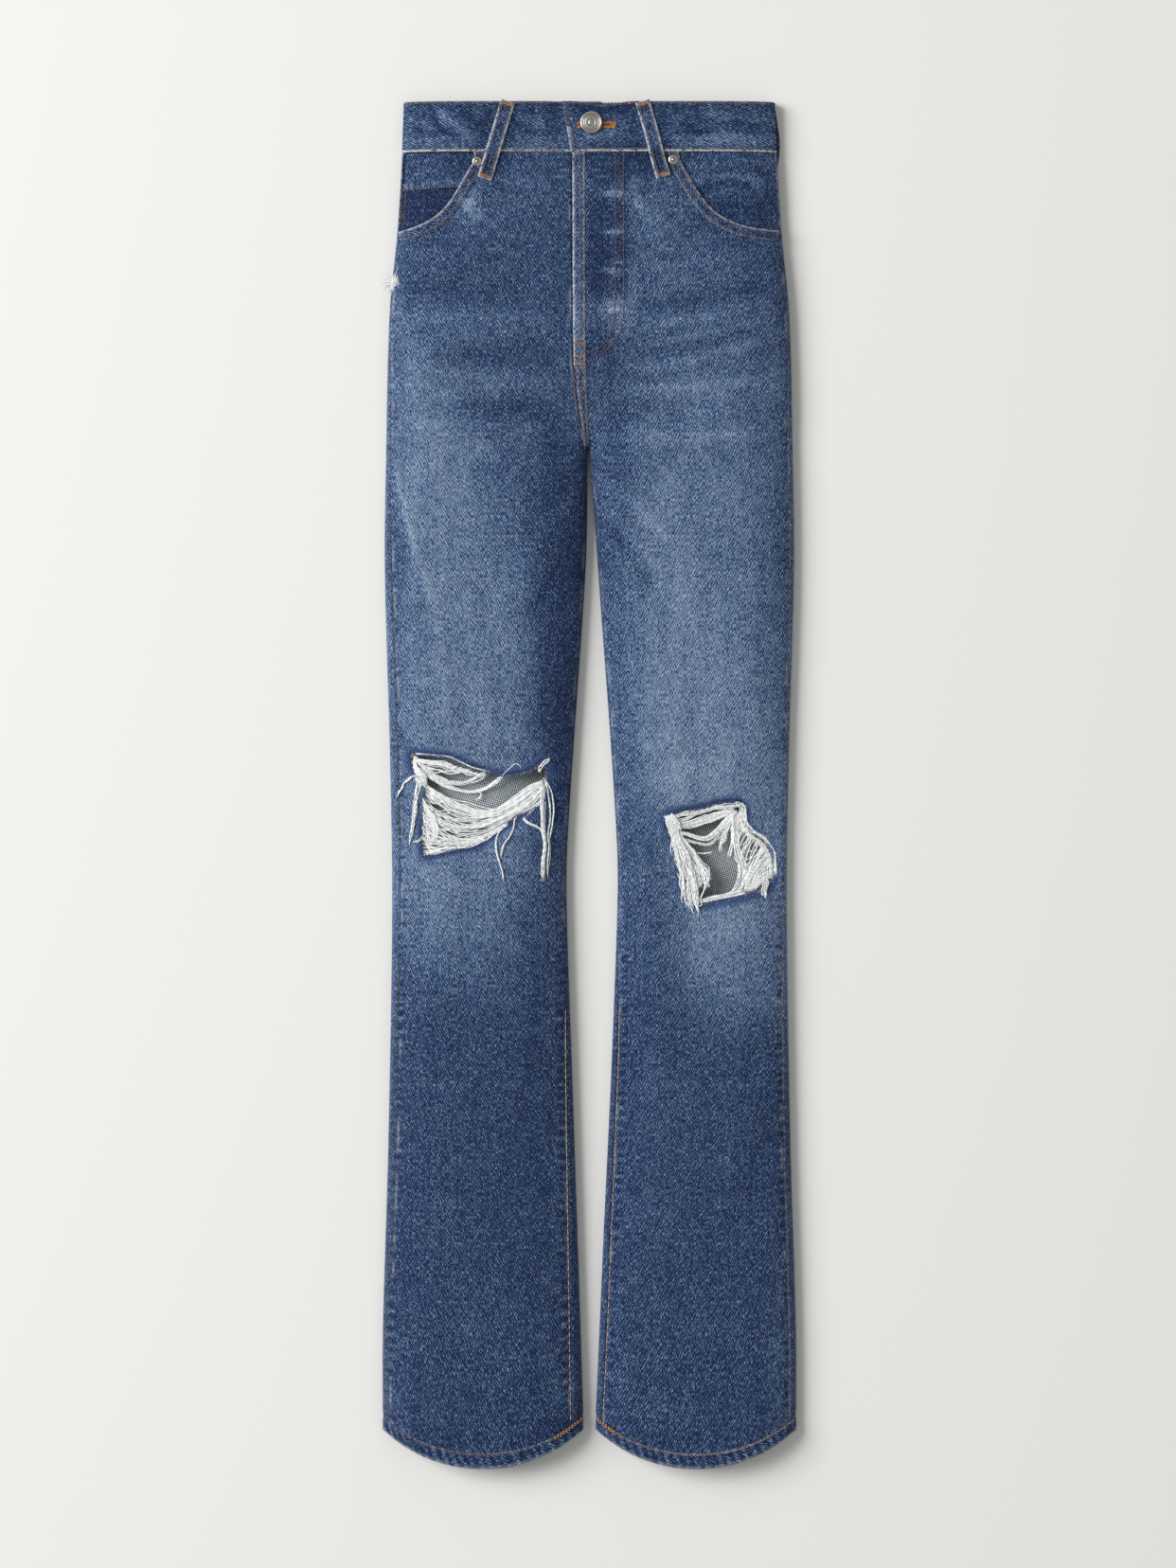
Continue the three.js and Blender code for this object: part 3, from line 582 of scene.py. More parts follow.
def tubes(name, paths, radius, material, sides=5):
    """Yarns: round tubes along many paths at once, thinning at their ends; paths is (yarns, points, 3)."""
    forward = unit(np.gradient(paths, axis=1), 1e-9)
    side = unit(np.cross(forward, np.array([0.02, 0.01, 1.0])), 1e-9)
    up = np.cross(side, forward)
    count = paths.shape[1]
    ends = np.clip(np.minimum(np.arange(count), np.arange(count)[::-1]) / 1.2, 0.25, 1)
    r = np.broadcast_to(np.asarray(radius), (len(paths),))[:, None, None, None] * ends[None, :, None, None]
    turn = np.linspace(0, 2 * np.pi, sides, endpoint=False)[:, None]
    points = paths[:, :, None] + r * (side[:, :, None] * np.cos(turn) + up[:, :, None] * np.sin(turn))
    faces = grid_faces(count, sides, closed=True)
    faces = (faces[None] + (np.arange(len(paths)) * count * sides)[:, None, None]).reshape(-1, 4)
    length = np.broadcast_to(np.linspace(0, 1, count)[None, :, None], points.shape[:3])
    around = np.broadcast_to(turn[None, None, :, 0] / (2 * np.pi), points.shape[:3])
    uv = np.stack([around, length], -1).reshape(-1, 2)
    return make_mesh(name, points.reshape(-1, 3), faces, [material], uv)


# ---- Finishes ----
TWILL_PITCH, WEAVE_PITCH = 1.9, 2.3  # between the twill's lines outside, and the ties of the weave inside


def node(tree, kind, inputs=None, **settings):
    """A shader node with its settings, and its inputs linked or set."""
    made = tree.nodes.new("ShaderNode" + kind)
    for key, value in settings.items():
        setattr(made, key, value)
    for key, value in (inputs or {}).items():
        if isinstance(value, bpy.types.NodeSocket):
            tree.links.new(value, made.inputs[key])
        else:
            made.inputs[key].default_value = value
    return made


def math_node(tree, operation, a, b=0.0, c=0.0, clamp=False):
    """The value that one sum gives."""
    return node(tree, "Math", {0: a, 1: b, 2: c}, operation=operation, use_clamp=clamp).outputs[0]


def millimetres(tree, place):
    """A place on the cloth turned from metres to millimetres."""
    return node(tree, "VectorMath", {0: place, 1: (1000, 1000, 1000)}, operation="MULTIPLY").outputs[0]


def lean(tree, mm, way):
    """How far a place on the cloth lies along a direction."""
    return node(tree, "VectorMath", {0: mm, 1: (*way, 0)}, operation="DOT_PRODUCT").outputs["Value"]


def swayed(tree, level, value, amount):
    """A level moved by amount times how far a noise lies from its middle."""
    return math_node(tree, "MULTIPLY_ADD", math_node(tree, "SUBTRACT", value, 0.5), amount, level)


def noise(tree, vector, cell, detail=2.0, roughness=0.55):
    """Noise over the cloth, in cells of (across, along) millimetres."""
    scaled = node(tree, "VectorMath", {0: vector, 1: (1 / cell[0], 1 / cell[1], 1)}, operation="MULTIPLY")
    return node(tree, "TexNoise", {"Vector": scaled.outputs[0], "Scale": 1.0, "Detail": detail,
                                   "Roughness": roughness}, noise_dimensions="2D").outputs[0]


def colour_ramp(tree, level, stops):
    """The colour at a level, between stops of (level, colour)."""
    ramp_node = node(tree, "ValToRGB", {0: level})
    elements = ramp_node.color_ramp.elements
    while len(elements) < len(stops):
        elements.new(0.5)
    for element, (place, colour) in zip(elements, stops):
        element.position = place
        element.color = (*colour, 1)
    return ramp_node.outputs[0]


def mix_colour(tree, amount, a, b):
    """Colour a turning into b as amount goes from 0 to 1."""
    return node(tree, "Mix", {0: amount, 6: a, 7: b}, data_type="RGBA").outputs[2]


def group(name, inputs, outputs):
    """An empty node group with (label, kind) sockets: its tree, what it is given and what it puts out."""
    tree = bpy.data.node_groups.new(name, "ShaderNodeTree")
    kinds = {"v": "NodeSocketVector", "f": "NodeSocketFloat", "c": "NodeSocketColor"}
    for direction, sockets in (("INPUT", inputs), ("OUTPUT", outputs)):
        for label, kind in sockets:
            tree.interface.new_socket(name=label, in_out=direction, socket_type=kinds[kind])
    return tree, tree.nodes.new("NodeGroupInput").outputs, tree.nodes.new("NodeGroupOutput").inputs


def denim_group():
    """Indigo twill: steep diagonal lines, flecks of pale weft and upright slubs, all paler with Fade; Worn
    edges rub through to white in patches, and Frayed ones show fluffy unfaded indigo."""
    tree, given, result = group(
        "washed denim", [("Cloth", "v"), ("Fade", "f"), ("Worn", "f"), ("Frayed", "f")],
        [("Color", "c"), ("Roughness", "f"), ("Height", "f")])
    mm = millimetres(tree, given["Cloth"])
    slub = noise(tree, mm, (0.6, 2.8), 3)
    fleck = noise(tree, mm, (0.45, 0.6), 2.5, 0.65)
    mottle = noise(tree, mm, (2.6, 9), 2)
    cloud = noise(tree, mm, (16, 22), 3)
    bent = noise(tree, mm, (5, 9), 1)
    phase = math_node(tree, "MULTIPLY_ADD", lean(tree, mm, (0.86, 0.5)), 2 * math.pi / TWILL_PITCH,
                      math_node(tree, "MULTIPLY", bent, 7.0))
    twill = math_node(tree, "SINE", phase)
    strength = math_node(tree, "MULTIPLY_ADD", given["Fade"], -0.9, 2.1)
    level = math_node(tree, "MULTIPLY", twill, 0.15)
    for value, amount in ((slub, 1.4), (fleck, 1.35), (mottle, 0.36)):
        level = swayed(tree, level, value, amount)
    level = swayed(tree, math_node(tree, "MULTIPLY", level, strength), cloud, 0.22)
    level = math_node(tree, "ADD", level, given["Fade"])
    indigo = colour_ramp(tree, level, [
        (0.0, (0.001, 0.009, 0.046)), (0.2, (0.006, 0.047, 0.172)), (0.4, (0.031, 0.101, 0.255)),
        (0.6, (0.122, 0.204, 0.345)), (0.9, (0.42, 0.50, 0.60))])
    patchy = noise(tree, mm, (2.6, 3.4), 2)
    rubbed = math_node(tree, "MULTIPLY", given["Worn"],
                       math_node(tree, "MULTIPLY_ADD", patchy, 4.0, -1.2, clamp=True), clamp=True)
    worn = mix_colour(tree, rubbed, indigo, (0.58, 0.63, 0.68, 1))
    fluff = colour_ramp(tree, noise(tree, mm, (0.9, 0.9), 2), [
        (0.38, (0.009, 0.028, 0.11)), (0.53, (0.026, 0.064, 0.20)), (0.68, (0.16, 0.24, 0.44))])
    frayed = mix_colour(tree, given["Frayed"], worn, fluff)
    tree.links.new(frayed, result["Color"])
    tree.links.new(math_node(tree, "MULTIPLY_ADD", fleck, 0.16, 0.80), result["Roughness"])
    grain = math_node(tree, "ADD", fleck, slub)
    height = math_node(tree, "MULTIPLY_ADD", twill, 0.22, grain)
    tree.links.new(height, result["Height"])
    return tree


def finish(name, tree_of, strength=0.7):
    """A material: tree_of builds its colour, roughness and height, which feed one shader, and says how deep
    that height goes in millimetres."""
    material = bpy.data.materials.new(name)
    material.use_nodes = True
    tree = material.node_tree
    shader = tree.nodes["Principled BSDF"]
    colour, roughness, height, depth = tree_of(tree, shader)
    tree.links.new(colour, shader.inputs["Base Color"])
    tree.links.new(roughness, shader.inputs["Roughness"])
    bump = node(tree, "Bump", {"Height": height, "Strength": strength, "Distance": depth * MM})
    tree.links.new(bump.outputs[0], shader.inputs["Normal"])
    return material


def mask(tree, name):
    """The value that a mesh holds under a name."""
    return node(tree, "Attribute", attribute_name=name).outputs["Fac"]


def denim():
    """The outer face of the denim, with its fade (which carries painted shade too), worn and frayed places
    from the mesh.
    """
    def tree_of(tree, shader):
        shader.inputs["Specular IOR Level"].default_value = 0.25
        shader.inputs["Sheen Weight"].default_value = 0.12
        cloth = node(tree, "UVMap", uv_map="cloth").outputs[0]
        made = node(tree, "Group", node_tree=DENIM)
        tree.links.new(cloth, made.inputs["Cloth"])
        for socket in ("Fade", "Worn", "Frayed"):
            tree.links.new(mask(tree, socket.lower()), made.inputs[socket])
        return made.outputs["Color"], made.outputs["Roughness"], made.outputs["Height"], 0.5
    return finish("washed indigo denim", tree_of)


def reverse():
    """The inner face of the denim: grey-white weft in a fine diamond of indigo ties."""
    def tree_of(tree, shader):
        shader.inputs["Specular IOR Level"].default_value = 0.25
        cloth = node(tree, "UVMap", uv_map="cloth").outputs[0]
        mm = millimetres(tree, cloth)
        waves = []
        for way in ((0.86, 0.5), (-0.5, 0.86)):
            turns = math_node(tree, "MULTIPLY", lean(tree, mm, way), 2 * math.pi / WEAVE_PITCH)
            waves.append(math_node(tree, "SINE", turns))
        ties = math_node(tree, "MULTIPLY", *waves)
        level = math_node(tree, "MULTIPLY_ADD", ties, 1.4, 0.25)
        level = math_node(tree, "ADD", level, math_node(tree, "MULTIPLY", noise(tree, mm, (2, 4), 3), 0.5))
        colour = colour_ramp(tree, level, [(0.1, (0.03, 0.04, 0.05)), (0.5, (0.28, 0.325, 0.36)),
                                           (0.9, (0.76, 0.82, 0.85))])
        return colour, math_node(tree, "MULTIPLY_ADD", ties, 0.05, 0.9), ties, 0.4
    return finish("denim reverse", tree_of)


def cotton(name, dark, pale, twist):
    """Spun yarn or sewing thread: plies that wind round it, and a little unevenness of colour."""
    def tree_of(tree, shader):
        shader.inputs["Sheen Weight"].default_value = 0.2
        shader.inputs["Specular IOR Level"].default_value = 0.3
        place = node(tree, "TexCoord").outputs["Object"]
        uneven = node(tree, "TexNoise", {"Vector": place, "Scale": 420.0, "Detail": 3.0}).outputs[0]
        split = node(tree, "SeparateXYZ", {0: node(tree, "UVMap", uv_map="cloth").outputs[0]}).outputs
        around = math_node(tree, "MULTIPLY", split[0], 4 * math.pi)
        wound = math_node(tree, "MULTIPLY_ADD", split[1], twist * 2 * math.pi, around)
        plies = math_node(tree, "SINE", wound)
        level = math_node(tree, "MULTIPLY_ADD", plies, 0.16, uneven)
        colour = colour_ramp(tree, level, [(0.25, dark), (0.7, pale)])
        return colour, math_node(tree, "MULTIPLY_ADD", uneven, 0.2, 0.7), plies, 0.15
    return finish(name, tree_of)


def nickel():
    """Antique nickel: rubbed bright on what stands proud, dull and darker in the grooves."""
    def tree_of(tree, shader):
        shader.inputs["Metallic"].default_value = 1.0
        place = node(tree, "TexCoord").outputs["Object"]
        smut = node(tree, "TexNoise", {"Vector": place, "Scale": 700.0, "Detail": 4.0}).outputs[0]
        scratches = node(tree, "TexNoise", {"Vector": place, "Scale": 2400.0, "Detail": 2.0}).outputs[0]
        smudges = math_node(tree, "MULTIPLY", smut, 0.35)
        grime = math_node(tree, "MULTIPLY_ADD", mask(tree, "groove"), 0.75, smudges, clamp=True)
        colour = mix_colour(tree, grime, (0.66, 0.635, 0.58, 1), (0.17, 0.155, 0.13, 1))
        return colour, math_node(tree, "MULTIPLY_ADD", grime, 0.35, 0.25), scratches, 0.1
    return finish("antique nickel", tree_of, strength=0.25)


DENIM = denim_group()
INDIGO = denim()
REVERSE = reverse()
YARN = cotton("pulled weft yarn", (0.84, 0.87, 0.87), (0.97, 0.99, 0.98), 14)
THREAD_FINISH = {
    "brown": cotton("brown topstitching", (0.10, 0.045, 0.022), (0.37, 0.17, 0.075), 1.5),
    "orange": cotton("orange topstitching", (0.34, 0.12, 0.02), (0.74, 0.33, 0.06), 1.5),
    "cream": cotton("cream topstitching", (0.45, 0.44, 0.40), (0.76, 0.75, 0.70), 1.5),
    "navy": cotton("navy overlocking", (0.018, 0.045, 0.155), (0.09, 0.16, 0.36), 1.5),
}
NICKEL = nickel()
SIDES = (("right", RIGHT), ("left", LEFT))


# ---- Fronts ----
RIPS = {
    "right": flow([(-151, 26.4), (-135, 25.8), (-119, 24.2), (-110, 20.8), (-99, 15.2), (-83, 11.3),
                   (-71, 8.5), (-59, 10.2), (-48.9, 13.5), (-39.9, 20.8), (-35.6, 10), (-37.7, -12),
                   (-44.4, -19), (-57, -24.6), (-66, -30.2), (-77, -38), (-88, -46), (-99.4, -52),
                   (-115, -54.5), (-128.6, -58.3), (-139.8, -59), (-141, -42.6), (-139.8, -20),
                   (-138.8, -3), (-141.2, 3), (-148.4, 11.2)], 4, closed=True),
    "left": flow([(64.4, -26.4), (82.7, -21.3), (97.4, -18.5), (112.2, -14.9), (126.8, -14.9), (131.4, -22),
                  (131.8, -32), (137.8, -40), (146.1, -45.1), (152.6, -53.4), (155.3, -66), (155.6, -78),
                  (151.6, -85.6), (145.2, -90.2), (132.3, -93.8), (112.2, -97.5), (101, -100.2),
                  (90, -100.8), (82, -93), (78.2, -84.6), (77.2, -73.6), (71.7, -60.8), (70.8, -49.8),
                  (66.2, -38.7)], 4, closed=True),
}
TEAR = flow([(-174, 431), (-167, 430), (-163.5, 426), (-165, 421.5), (-171, 420.5), (-176, 424)], 4,
            closed=True)
SCOOPS = {
    "right": flow([(-97, 545), (-97.6, 530), (-99.5, 523.5), (-104.6, 515.2), (-111.3, 503.2),
                   (-119.2, 490.8), (-129, 481), (-141.3, 473.6), (-153.5, 469.4), (-163.5, 467)], 6),
    "left": flow([(75, 545), (75.8, 531.2), (79, 522.4), (86.6, 509.6), (94.2, 497.4), (104.4, 485.4),
                  (115.9, 477.7), (131.2, 471.9), (147.8, 469.4), (163.5, 468.4)], 6),
}


def front(name, side):
    """A front panel: a grid from the outseam to the fly or inseam and from hem to waistband, on the top
    face. Points near a rip's outline are drawn on to it, and what lies inside it is left out."""
    rows, columns, cell = 380, 68, 2.9
    y = np.linspace(HEM + 4, BAND_FOOT - 0.3, rows)[:, None]
    outer = side * (outer_edge(y) - OUTSEAM[side](y) - 0.05)
    inner = np.where(y > CROTCH, fly_edge(y) - (0.3 if side == RIGHT else 0),
                     inner_edge(side, y) + side * (INSEAM[side](y) + 0.05))
    x = outer + (inner - outer) * eased(columns)
    y = np.broadcast_to(y, x.shape).copy()
    gap, frayed = np.full(x.shape, 99.0), np.full(x.shape, 99.0)
    scoop = SCOOPS[name]
    corner = np.array([[side * 200, scoop[-1, 1]], [side * 200, 600], [scoop[0, 0], 600]])
    openings = [(RIPS[name], True), (np.vstack([scoop, corner]), False)]
    if side == RIGHT:
        openings.append((TEAR, True))
    for outline, rough in openings:
        low, high = outline.min(0) - 14, outline.max(0) + 14
        near = (x > low[0]) & (x < high[0]) & (y > low[1]) & (y < high[1])
        distance, nearest = from_outline(x[near], y[near], outline)
        on = np.abs(distance) < cell * 0.52
        xy = np.stack([x[near], y[near]], 1)
        xy[on] = nearest[on]
        x[near], y[near] = xy.T
        distance[on] = 0
        gap[near] = np.minimum(gap[near], distance)
        if rough:
            frayed[near] = np.minimum(frayed[near], distance)
    from_outseam, from_inner = np.abs(x - outer), np.abs(x - inner)
    z = face_height(x, y) - 0.5 * np.exp(-from_outseam / 1.4) - 0.5 * ramp(*HEM_STEP, y)
    z = z - np.where(y < CROTCH, 0.75, 0.9 if side == RIGHT else 0.2) * np.exp(-from_inner / 1.4)
    z = z + 0.9 * np.exp(-np.abs(frayed) / 5.0) * ripple(x, y, 14, 14, 11)
    points = np.stack([x, y - bow(side, x, y), z], -1)
    by_seam = np.minimum(from_outseam, from_inner)
    low = ramp(40, -260, y)
    beside = (np.exp(-((from_inner - 5.2) / 2.8) ** 2) * low
              + np.exp(-((from_outseam - 1.6) / 2.6) ** 2) * (0.35 + 0.65 * low))
    above_hem = np.exp(-((y - HEM - HEM_DEPTH - 2) / 7) ** 2)
    ropes = (0.62 * beside * (roping(y, 41 + side, LEG_ROPES) - 0.2)
             + 0.16 * above_hem * roping(x + 0.5 * y, 45 + side))
    line = 0.08 * np.exp(-(by_seam / 1.1) ** 2) * (y < BAND_FOOT - 2)
    worn = 0.40 * np.exp(-((by_seam - 1.4) / 1.0) ** 2) * np.clip(ripple(y, x * 0, 11, 9, 43 + side), 0, 1)
    level = ramp(0.0, 8.0, np.abs(y - RIPS[name][:, 1].mean()) - 14)
    fluffy = ramp(6.4, 3.2, frayed) * (0.15 + 0.85 * level)
    v = np.linspace(HEM, BAND_FOOT, rows)[:, None]
    return sheet(f"front panel {name}", points, v, side == LEFT, fade_and_shade_at(x, y) + ropes - line,
                 worn * (frayed > 3), fluffy, gap)


# ---- Backs and yokes ----
def back_section(side, y, c):
    """Across a back: c runs from 0 to 1 over the top to the outseam, to 2 round the side fold, to 3 along
    the underside, to 4 round the inner fold and to 5 over the top to the inseam."""
    lift, inset = back_lift(y), OUTSEAM[side](y) - 0.05
    drawn = np.where(y >= CROTCH, 1 - ramp(CROTCH, CROTCH + 70, y), 1.0)
    wide, high = EDGE_RADIUS + 14 * (1 - drawn), EDGE_RADIUS * drawn
    edge = side * outer_edge(y)
    inner = np.where(y > CROTCH, CENTRE_X + side * 0.15, inner_edge(side, y))
    seam = np.where(y > CROTCH, 0.0, INSEAM[side](y) - 0.05)
    over = inset * (1 - np.clip(c, 0, 1)) ** 2
    fold = (2 - np.clip(c, 1, 2)) * np.pi / 2
    turn = (np.clip(c, 3, 4) - 3) * np.pi / 2
    over_in = seam * (np.clip(c, 4, 5) - 4) ** 2
    x_fold = edge - side * EDGE_RADIUS * (1 - np.sin(fold))
    x_turn = inner + side * wide * (1 - np.sin(turn))
    share = np.clip(c - 2, 0, 1)
    x_flat = (edge - side * EDGE_RADIUS) * (1 - share) + (inner + side * wide) * share
    runs = [c < 1, c < 2, c < 3, c <= 4]
    x = np.select(runs, [edge - side * over, x_fold, x_flat, x_turn], inner + side * over_in)
    z_over = face_height(x, y) - 0.45 * np.exp(-np.abs(inset - over) / 1.4)
    buckles = 0.5 * np.clip(ripple(x, y, 26, 60, 21), 0, 1) + RISE * slack(x, y, LEFT_RISE)
    z_flat = lift + np.sin(np.pi * share) * buckles
    z_fold, z_turn = lift + EDGE_RADIUS * (1 - np.cos(fold)), lift + high * (1 - np.cos(turn))
    z_inner = np.where(y > CROTCH, lift + high, face_height(x, y))
    z = np.select(runs, [z_over, z_fold, z_flat, z_turn], z_inner)
    return x, z


def back(name, side):
    """A back panel and its yoke, from the outseam round the side fold to the inseam or centre-back seam."""
    c = np.concatenate([np.linspace(0, 1, 6)[:-1], np.linspace(1, 2, 9)[:-1], np.linspace(2, 3, 34)[:-1],
                        np.linspace(3, 4, 9)[:-1], np.linspace(4, 5, 6)])
    made = []
    for piece, rows in (("back panel", 300), ("yoke panel", 24)):
        yoke = piece == "yoke panel"
        v = np.linspace(0, 1, rows)[:, None]
        low, high = (yoke_seam(80), BAND_FOOT - 0.3) if yoke else (HEM + 4, yoke_seam(80))
        y = np.broadcast_to(low + (high - low) * v, (rows, len(c)))
        x, _ = back_section(side, y, c)
        slant = (yoke_seam(x) - yoke_seam(80)) * (1 - v if yoke else ramp(0.8, 1, v))
        y = y + slant + (0.2 * (v < 0.01) if yoke else -0.2 * (v > 0.99))
        x, z = back_section(side, y, c)
        tucked = 0.5 * ramp(*HEM_STEP, y)
        dx, dz = np.gradient(x, axis=1), np.gradient(z, axis=1)
        length = np.hypot(dx, dz) + 1e-9
        x, z = x + tucked * side * dz / length, z - tucked * side * dx / length
        points = np.stack([x, y - bow(side, x, y), z], -1)
        off_seam = np.abs(OUTSEAM[side](y) - 0.05 - np.abs(np.abs(x) - outer_edge(y)))
        seams = np.where(c < 1, np.exp(-off_seam / 1.3), 0)
        roped = 0.5 + 0.5 * roping(y, 41 + side, LEG_ROPES)
        fade = fade_and_shade_at(x, y) + np.where(z < back_lift(y) + 3, 0.03, -0.03) - 0.16 * seams * (1 - roped)
        worn = 0.3 * seams * roped + 0.15 * np.exp(-((c - 1) / 0.4) ** 2)
        made.append(sheet(f"{piece} {name}", points, y, side == RIGHT, fade, worn))
    return made


# ---- In the pockets' mouths ----
def facing(title, side, y0, y1, reach, sink, fade=0.0, slant=0.0):
    """A piece in a pocket's mouth: a grid inwards from the outseam, below the front's face by sink. The coin
    pocket has a roped hem along its mouth; the left facing is rubbed round an arch where a hand goes in."""
    y = np.linspace(y0, y1, max(12, int((y1 - y0) / 1.6)))[:, None]
    outer = side * (outer_edge(y) - OUTSEAM[side](y) - 0.35)
    x = outer - side * reach * np.linspace(0, 1, 54) ** 1.3
    y = np.broadcast_to(y, x.shape)
    down = y1 - y
    hem = 0.65 * ramp(5.4, 6.2, down) if title == "coin patch" else 0
    z = face_height(x, y) - sink - hem
    y = y + slant * ramp(y0, y1, y) * (np.abs(x) - 163) / 54
    points = np.stack([x, y, z], -1)
    arch = np.hypot((x - 114) / 36, (y - 478) / 36)
    rubbed = 0.12 * ramp(0.99, 1.04, arch) - 0.20 * ramp(1.02, 0.94, arch) + 0.14 * ramp(0.90, 0.6, arch)
    if title == "coin patch":
        rubbed = (0.56 + 0.16 * roping(x, 12, 4.5)) * ramp(6.2, 5.2, down) - 0.42
    elif side == RIGHT:
        rubbed = -0.02
    return sheet(title, points, y, side == LEFT, fade_and_shade_at(x, y) + fade + rubbed)


# ---- Waistband, hems and other strips ----
def off_section(x, z, outwards):
    """Moves a section's points outwards, to the left of the way it runs."""
    dx, dz = np.gradient(x), np.gradient(z)
    length = np.hypot(dx, dz) + 1e-9
    return x - dz / length * outwards, z + dx / length * outwards


def tube_line(y, left, right, proud, thick):
    """Once round a flat tube from its left fold: over the top, down the right fold, back along the underside
    and up the left fold. Those four runs are moved in by a strip's thickness, and out by proud on top."""
    lift, turn = back_lift(y), np.linspace(0, np.pi / 2, 10)
    over = left + (right - left) * eased(110)
    under = np.linspace(right - EDGE_RADIUS, left + EDGE_RADIUS, 70)
    x = [over, right - EDGE_RADIUS * (1 - np.cos(turn)), under, left + EDGE_RADIUS * (1 - np.sin(turn))]
    z = [face_height(over, np.full_like(over, y)), lift + EDGE_RADIUS * (1 - np.sin(turn)),
         np.full_like(under, lift), lift + EDGE_RADIUS * (1 - np.cos(turn))]
    out = [proud * np.sin(np.pi * np.linspace(0, 1, 110)) ** 0.3, *(0 * part for part in x[1:])]
    cut = np.cumsum([len(part) for part in x])[:-1]
    x, z, out = np.concatenate(x), np.concatenate(z), np.concatenate(out)
    x, z = off_section(x, z, out - thick)
    return [np.column_stack([a, np.full_like(a, y), b]) for a, b in zip(np.split(x, cut), np.split(z, cut))]


def band_line(y, start, dip):
    """Once round the waistband at one height up it: from the tab's end to the wearer's left side, under the
    back, up the right side and over to the underlap's end, where it dives beneath the tab."""
    over, right_fold, under, left_fold = tube_line(y, -outer_edge(y), outer_edge(y), BAND_PROUD, BAND_CLOTH)
    tab = over[over[:, 0] > start]
    tab = np.vstack([[start, y, np.interp(start, over[:, 0], over[:, 2])], tab])
    dipped = np.clip(np.abs(tab[:, 0] - DIP_MIDDLE) / DIP_HALF, 0, 1)
    tab[:, 1] -= dip * np.cos(dipped * np.pi / 2) ** 2
    lap = over[over[:, 0] < UNDERLAP_X]
    lap[:, 2] -= 2.7 * ramp(-36, -27, lap[:, 0])
    return np.vstack([tab[:-1], right_fold, under[1:-1], left_fold[:-1], lap])


def waistband():
    """The waistband: the strip between its foot and its top, two lines cut to the same count of points."""
    lines = band_line(BAND_FOOT, TAB_FOOT_X, 0), band_line(BAND_TOP, TAB_TOP_X, DIP)
    count = min(len(line) for line in lines)
    lower, upper = (np.delete(line, np.arange(1, 1 + len(line) - count), 0) for line in lines)
    return strip_between("waistband strip", lower, upper, BAND_CLOTH, fade=-0.02, wear=(0.95, 0.1), puff=0.5,
                         bars=0.08)


def hem(name, side):
    """A leg's turned-up hem, once round from the inseam."""
    thick, edges = 3.0, []
    for v in (HEM, HEM + HEM_DEPTH - 1.4):
        left, right = sorted((side * outer_edge(v), float(inner_edge(side, v))))
        runs = tube_line(v, left, right, 0.45, thick)
        runs = runs if side == LEFT else runs[1:] + runs[:1]
        line = np.vstack([run[:-1] for run in runs] + [runs[-1][-1:]])
        line[:, 1] -= bow(side, line[:, 0], line[:, 1])
        edges.append(line)
    return strip_between(f"hem {name}", *edges, thick, fade=-0.06, wear=(0.30, 0.1), puff=1.2, bars=0.50,
                         seed=9 + side)


def belt_loop(name, path, under=False):
    """A belt loop: a narrow strip over the waistband and on to the cloth below it."""
    xy = even(flow(path, 20), 60)
    if under:
        place = np.column_stack([xy, np.full(len(xy), LOOP_THICK)])
        # The back loops get a darker fade: painted shade, which shows where the back left loop peeks past the
        # waistband's side.
        return strip(name, place, (0, 0, -1), LOOP_WIDTH, LOOP_THICK, fade=-0.24, wear=(0.1, 0.1))
    place = surface(xy)
    bowed = 0.35 * np.sin(np.pi * np.linspace(0, 1, 60)) ** 0.5
    place[:, 2] += BAND_PROUD * ramp(BAND_FOOT - 5, BAND_FOOT + 1, xy[:, 1]) + bowed
    return strip(name, place, (0, 0, 1), LOOP_WIDTH, LOOP_THICK, fade=-0.04, wear=(0.85, 0.85))


def into_front(scoop, side):
    """Directions square to a scoop, into the front panel."""
    forward = unit(np.gradient(scoop, axis=0))
    return np.column_stack([-forward[:, 1], forward[:, 0]]) * -side


def pocket_mouth(name, side):
    """The turned hem of a front pocket's scooped mouth, 9 mm deep, laid along the scoop."""
    scoop = SCOOPS[name]
    scoop = scoop[(scoop[:, 1] < BAND_FOOT + 1) & (np.abs(scoop[:, 0]) < outer_edge(scoop[:, 1]) - 1)]
    scoop = even(scoop, 70)
    inwards = into_front(scoop, side)
    rim, inner = scoop - 0.4 * inwards, scoop + 9.0 * inwards
    inner[:, 0] = side * np.minimum(np.abs(inner[:, 0]), outer_edge(inner[:, 1]) - 0.8)
    edges = [surface(rim, -1.2), surface(inner, -1.2)]
    wear = (0.55, 0.15)
    if side == LEFT:
        edges, wear = edges[::-1], wear[::-1]
    return strip_between(f"pocket mouth {name}", *edges, 2.0, fade=0.02, wear=wear, puff=0.3, bars=0.10,
                         seed=31)


def flat_strip(name, left, right, fade, wear=(0.6, 0.4), proud=0.8, thick=2.0):
    """A strip down the front between two lines, which start at their upper ends."""
    left, right = even(flow(left, 10), 90), even(flow(right, 10), 90)
    edges = [surface(line, proud - thick) for line in (left, right)]
    return strip_between(name, *edges, thick, fade=fade, wear=wear, puff=0.2, bars=0.07, seed=5)


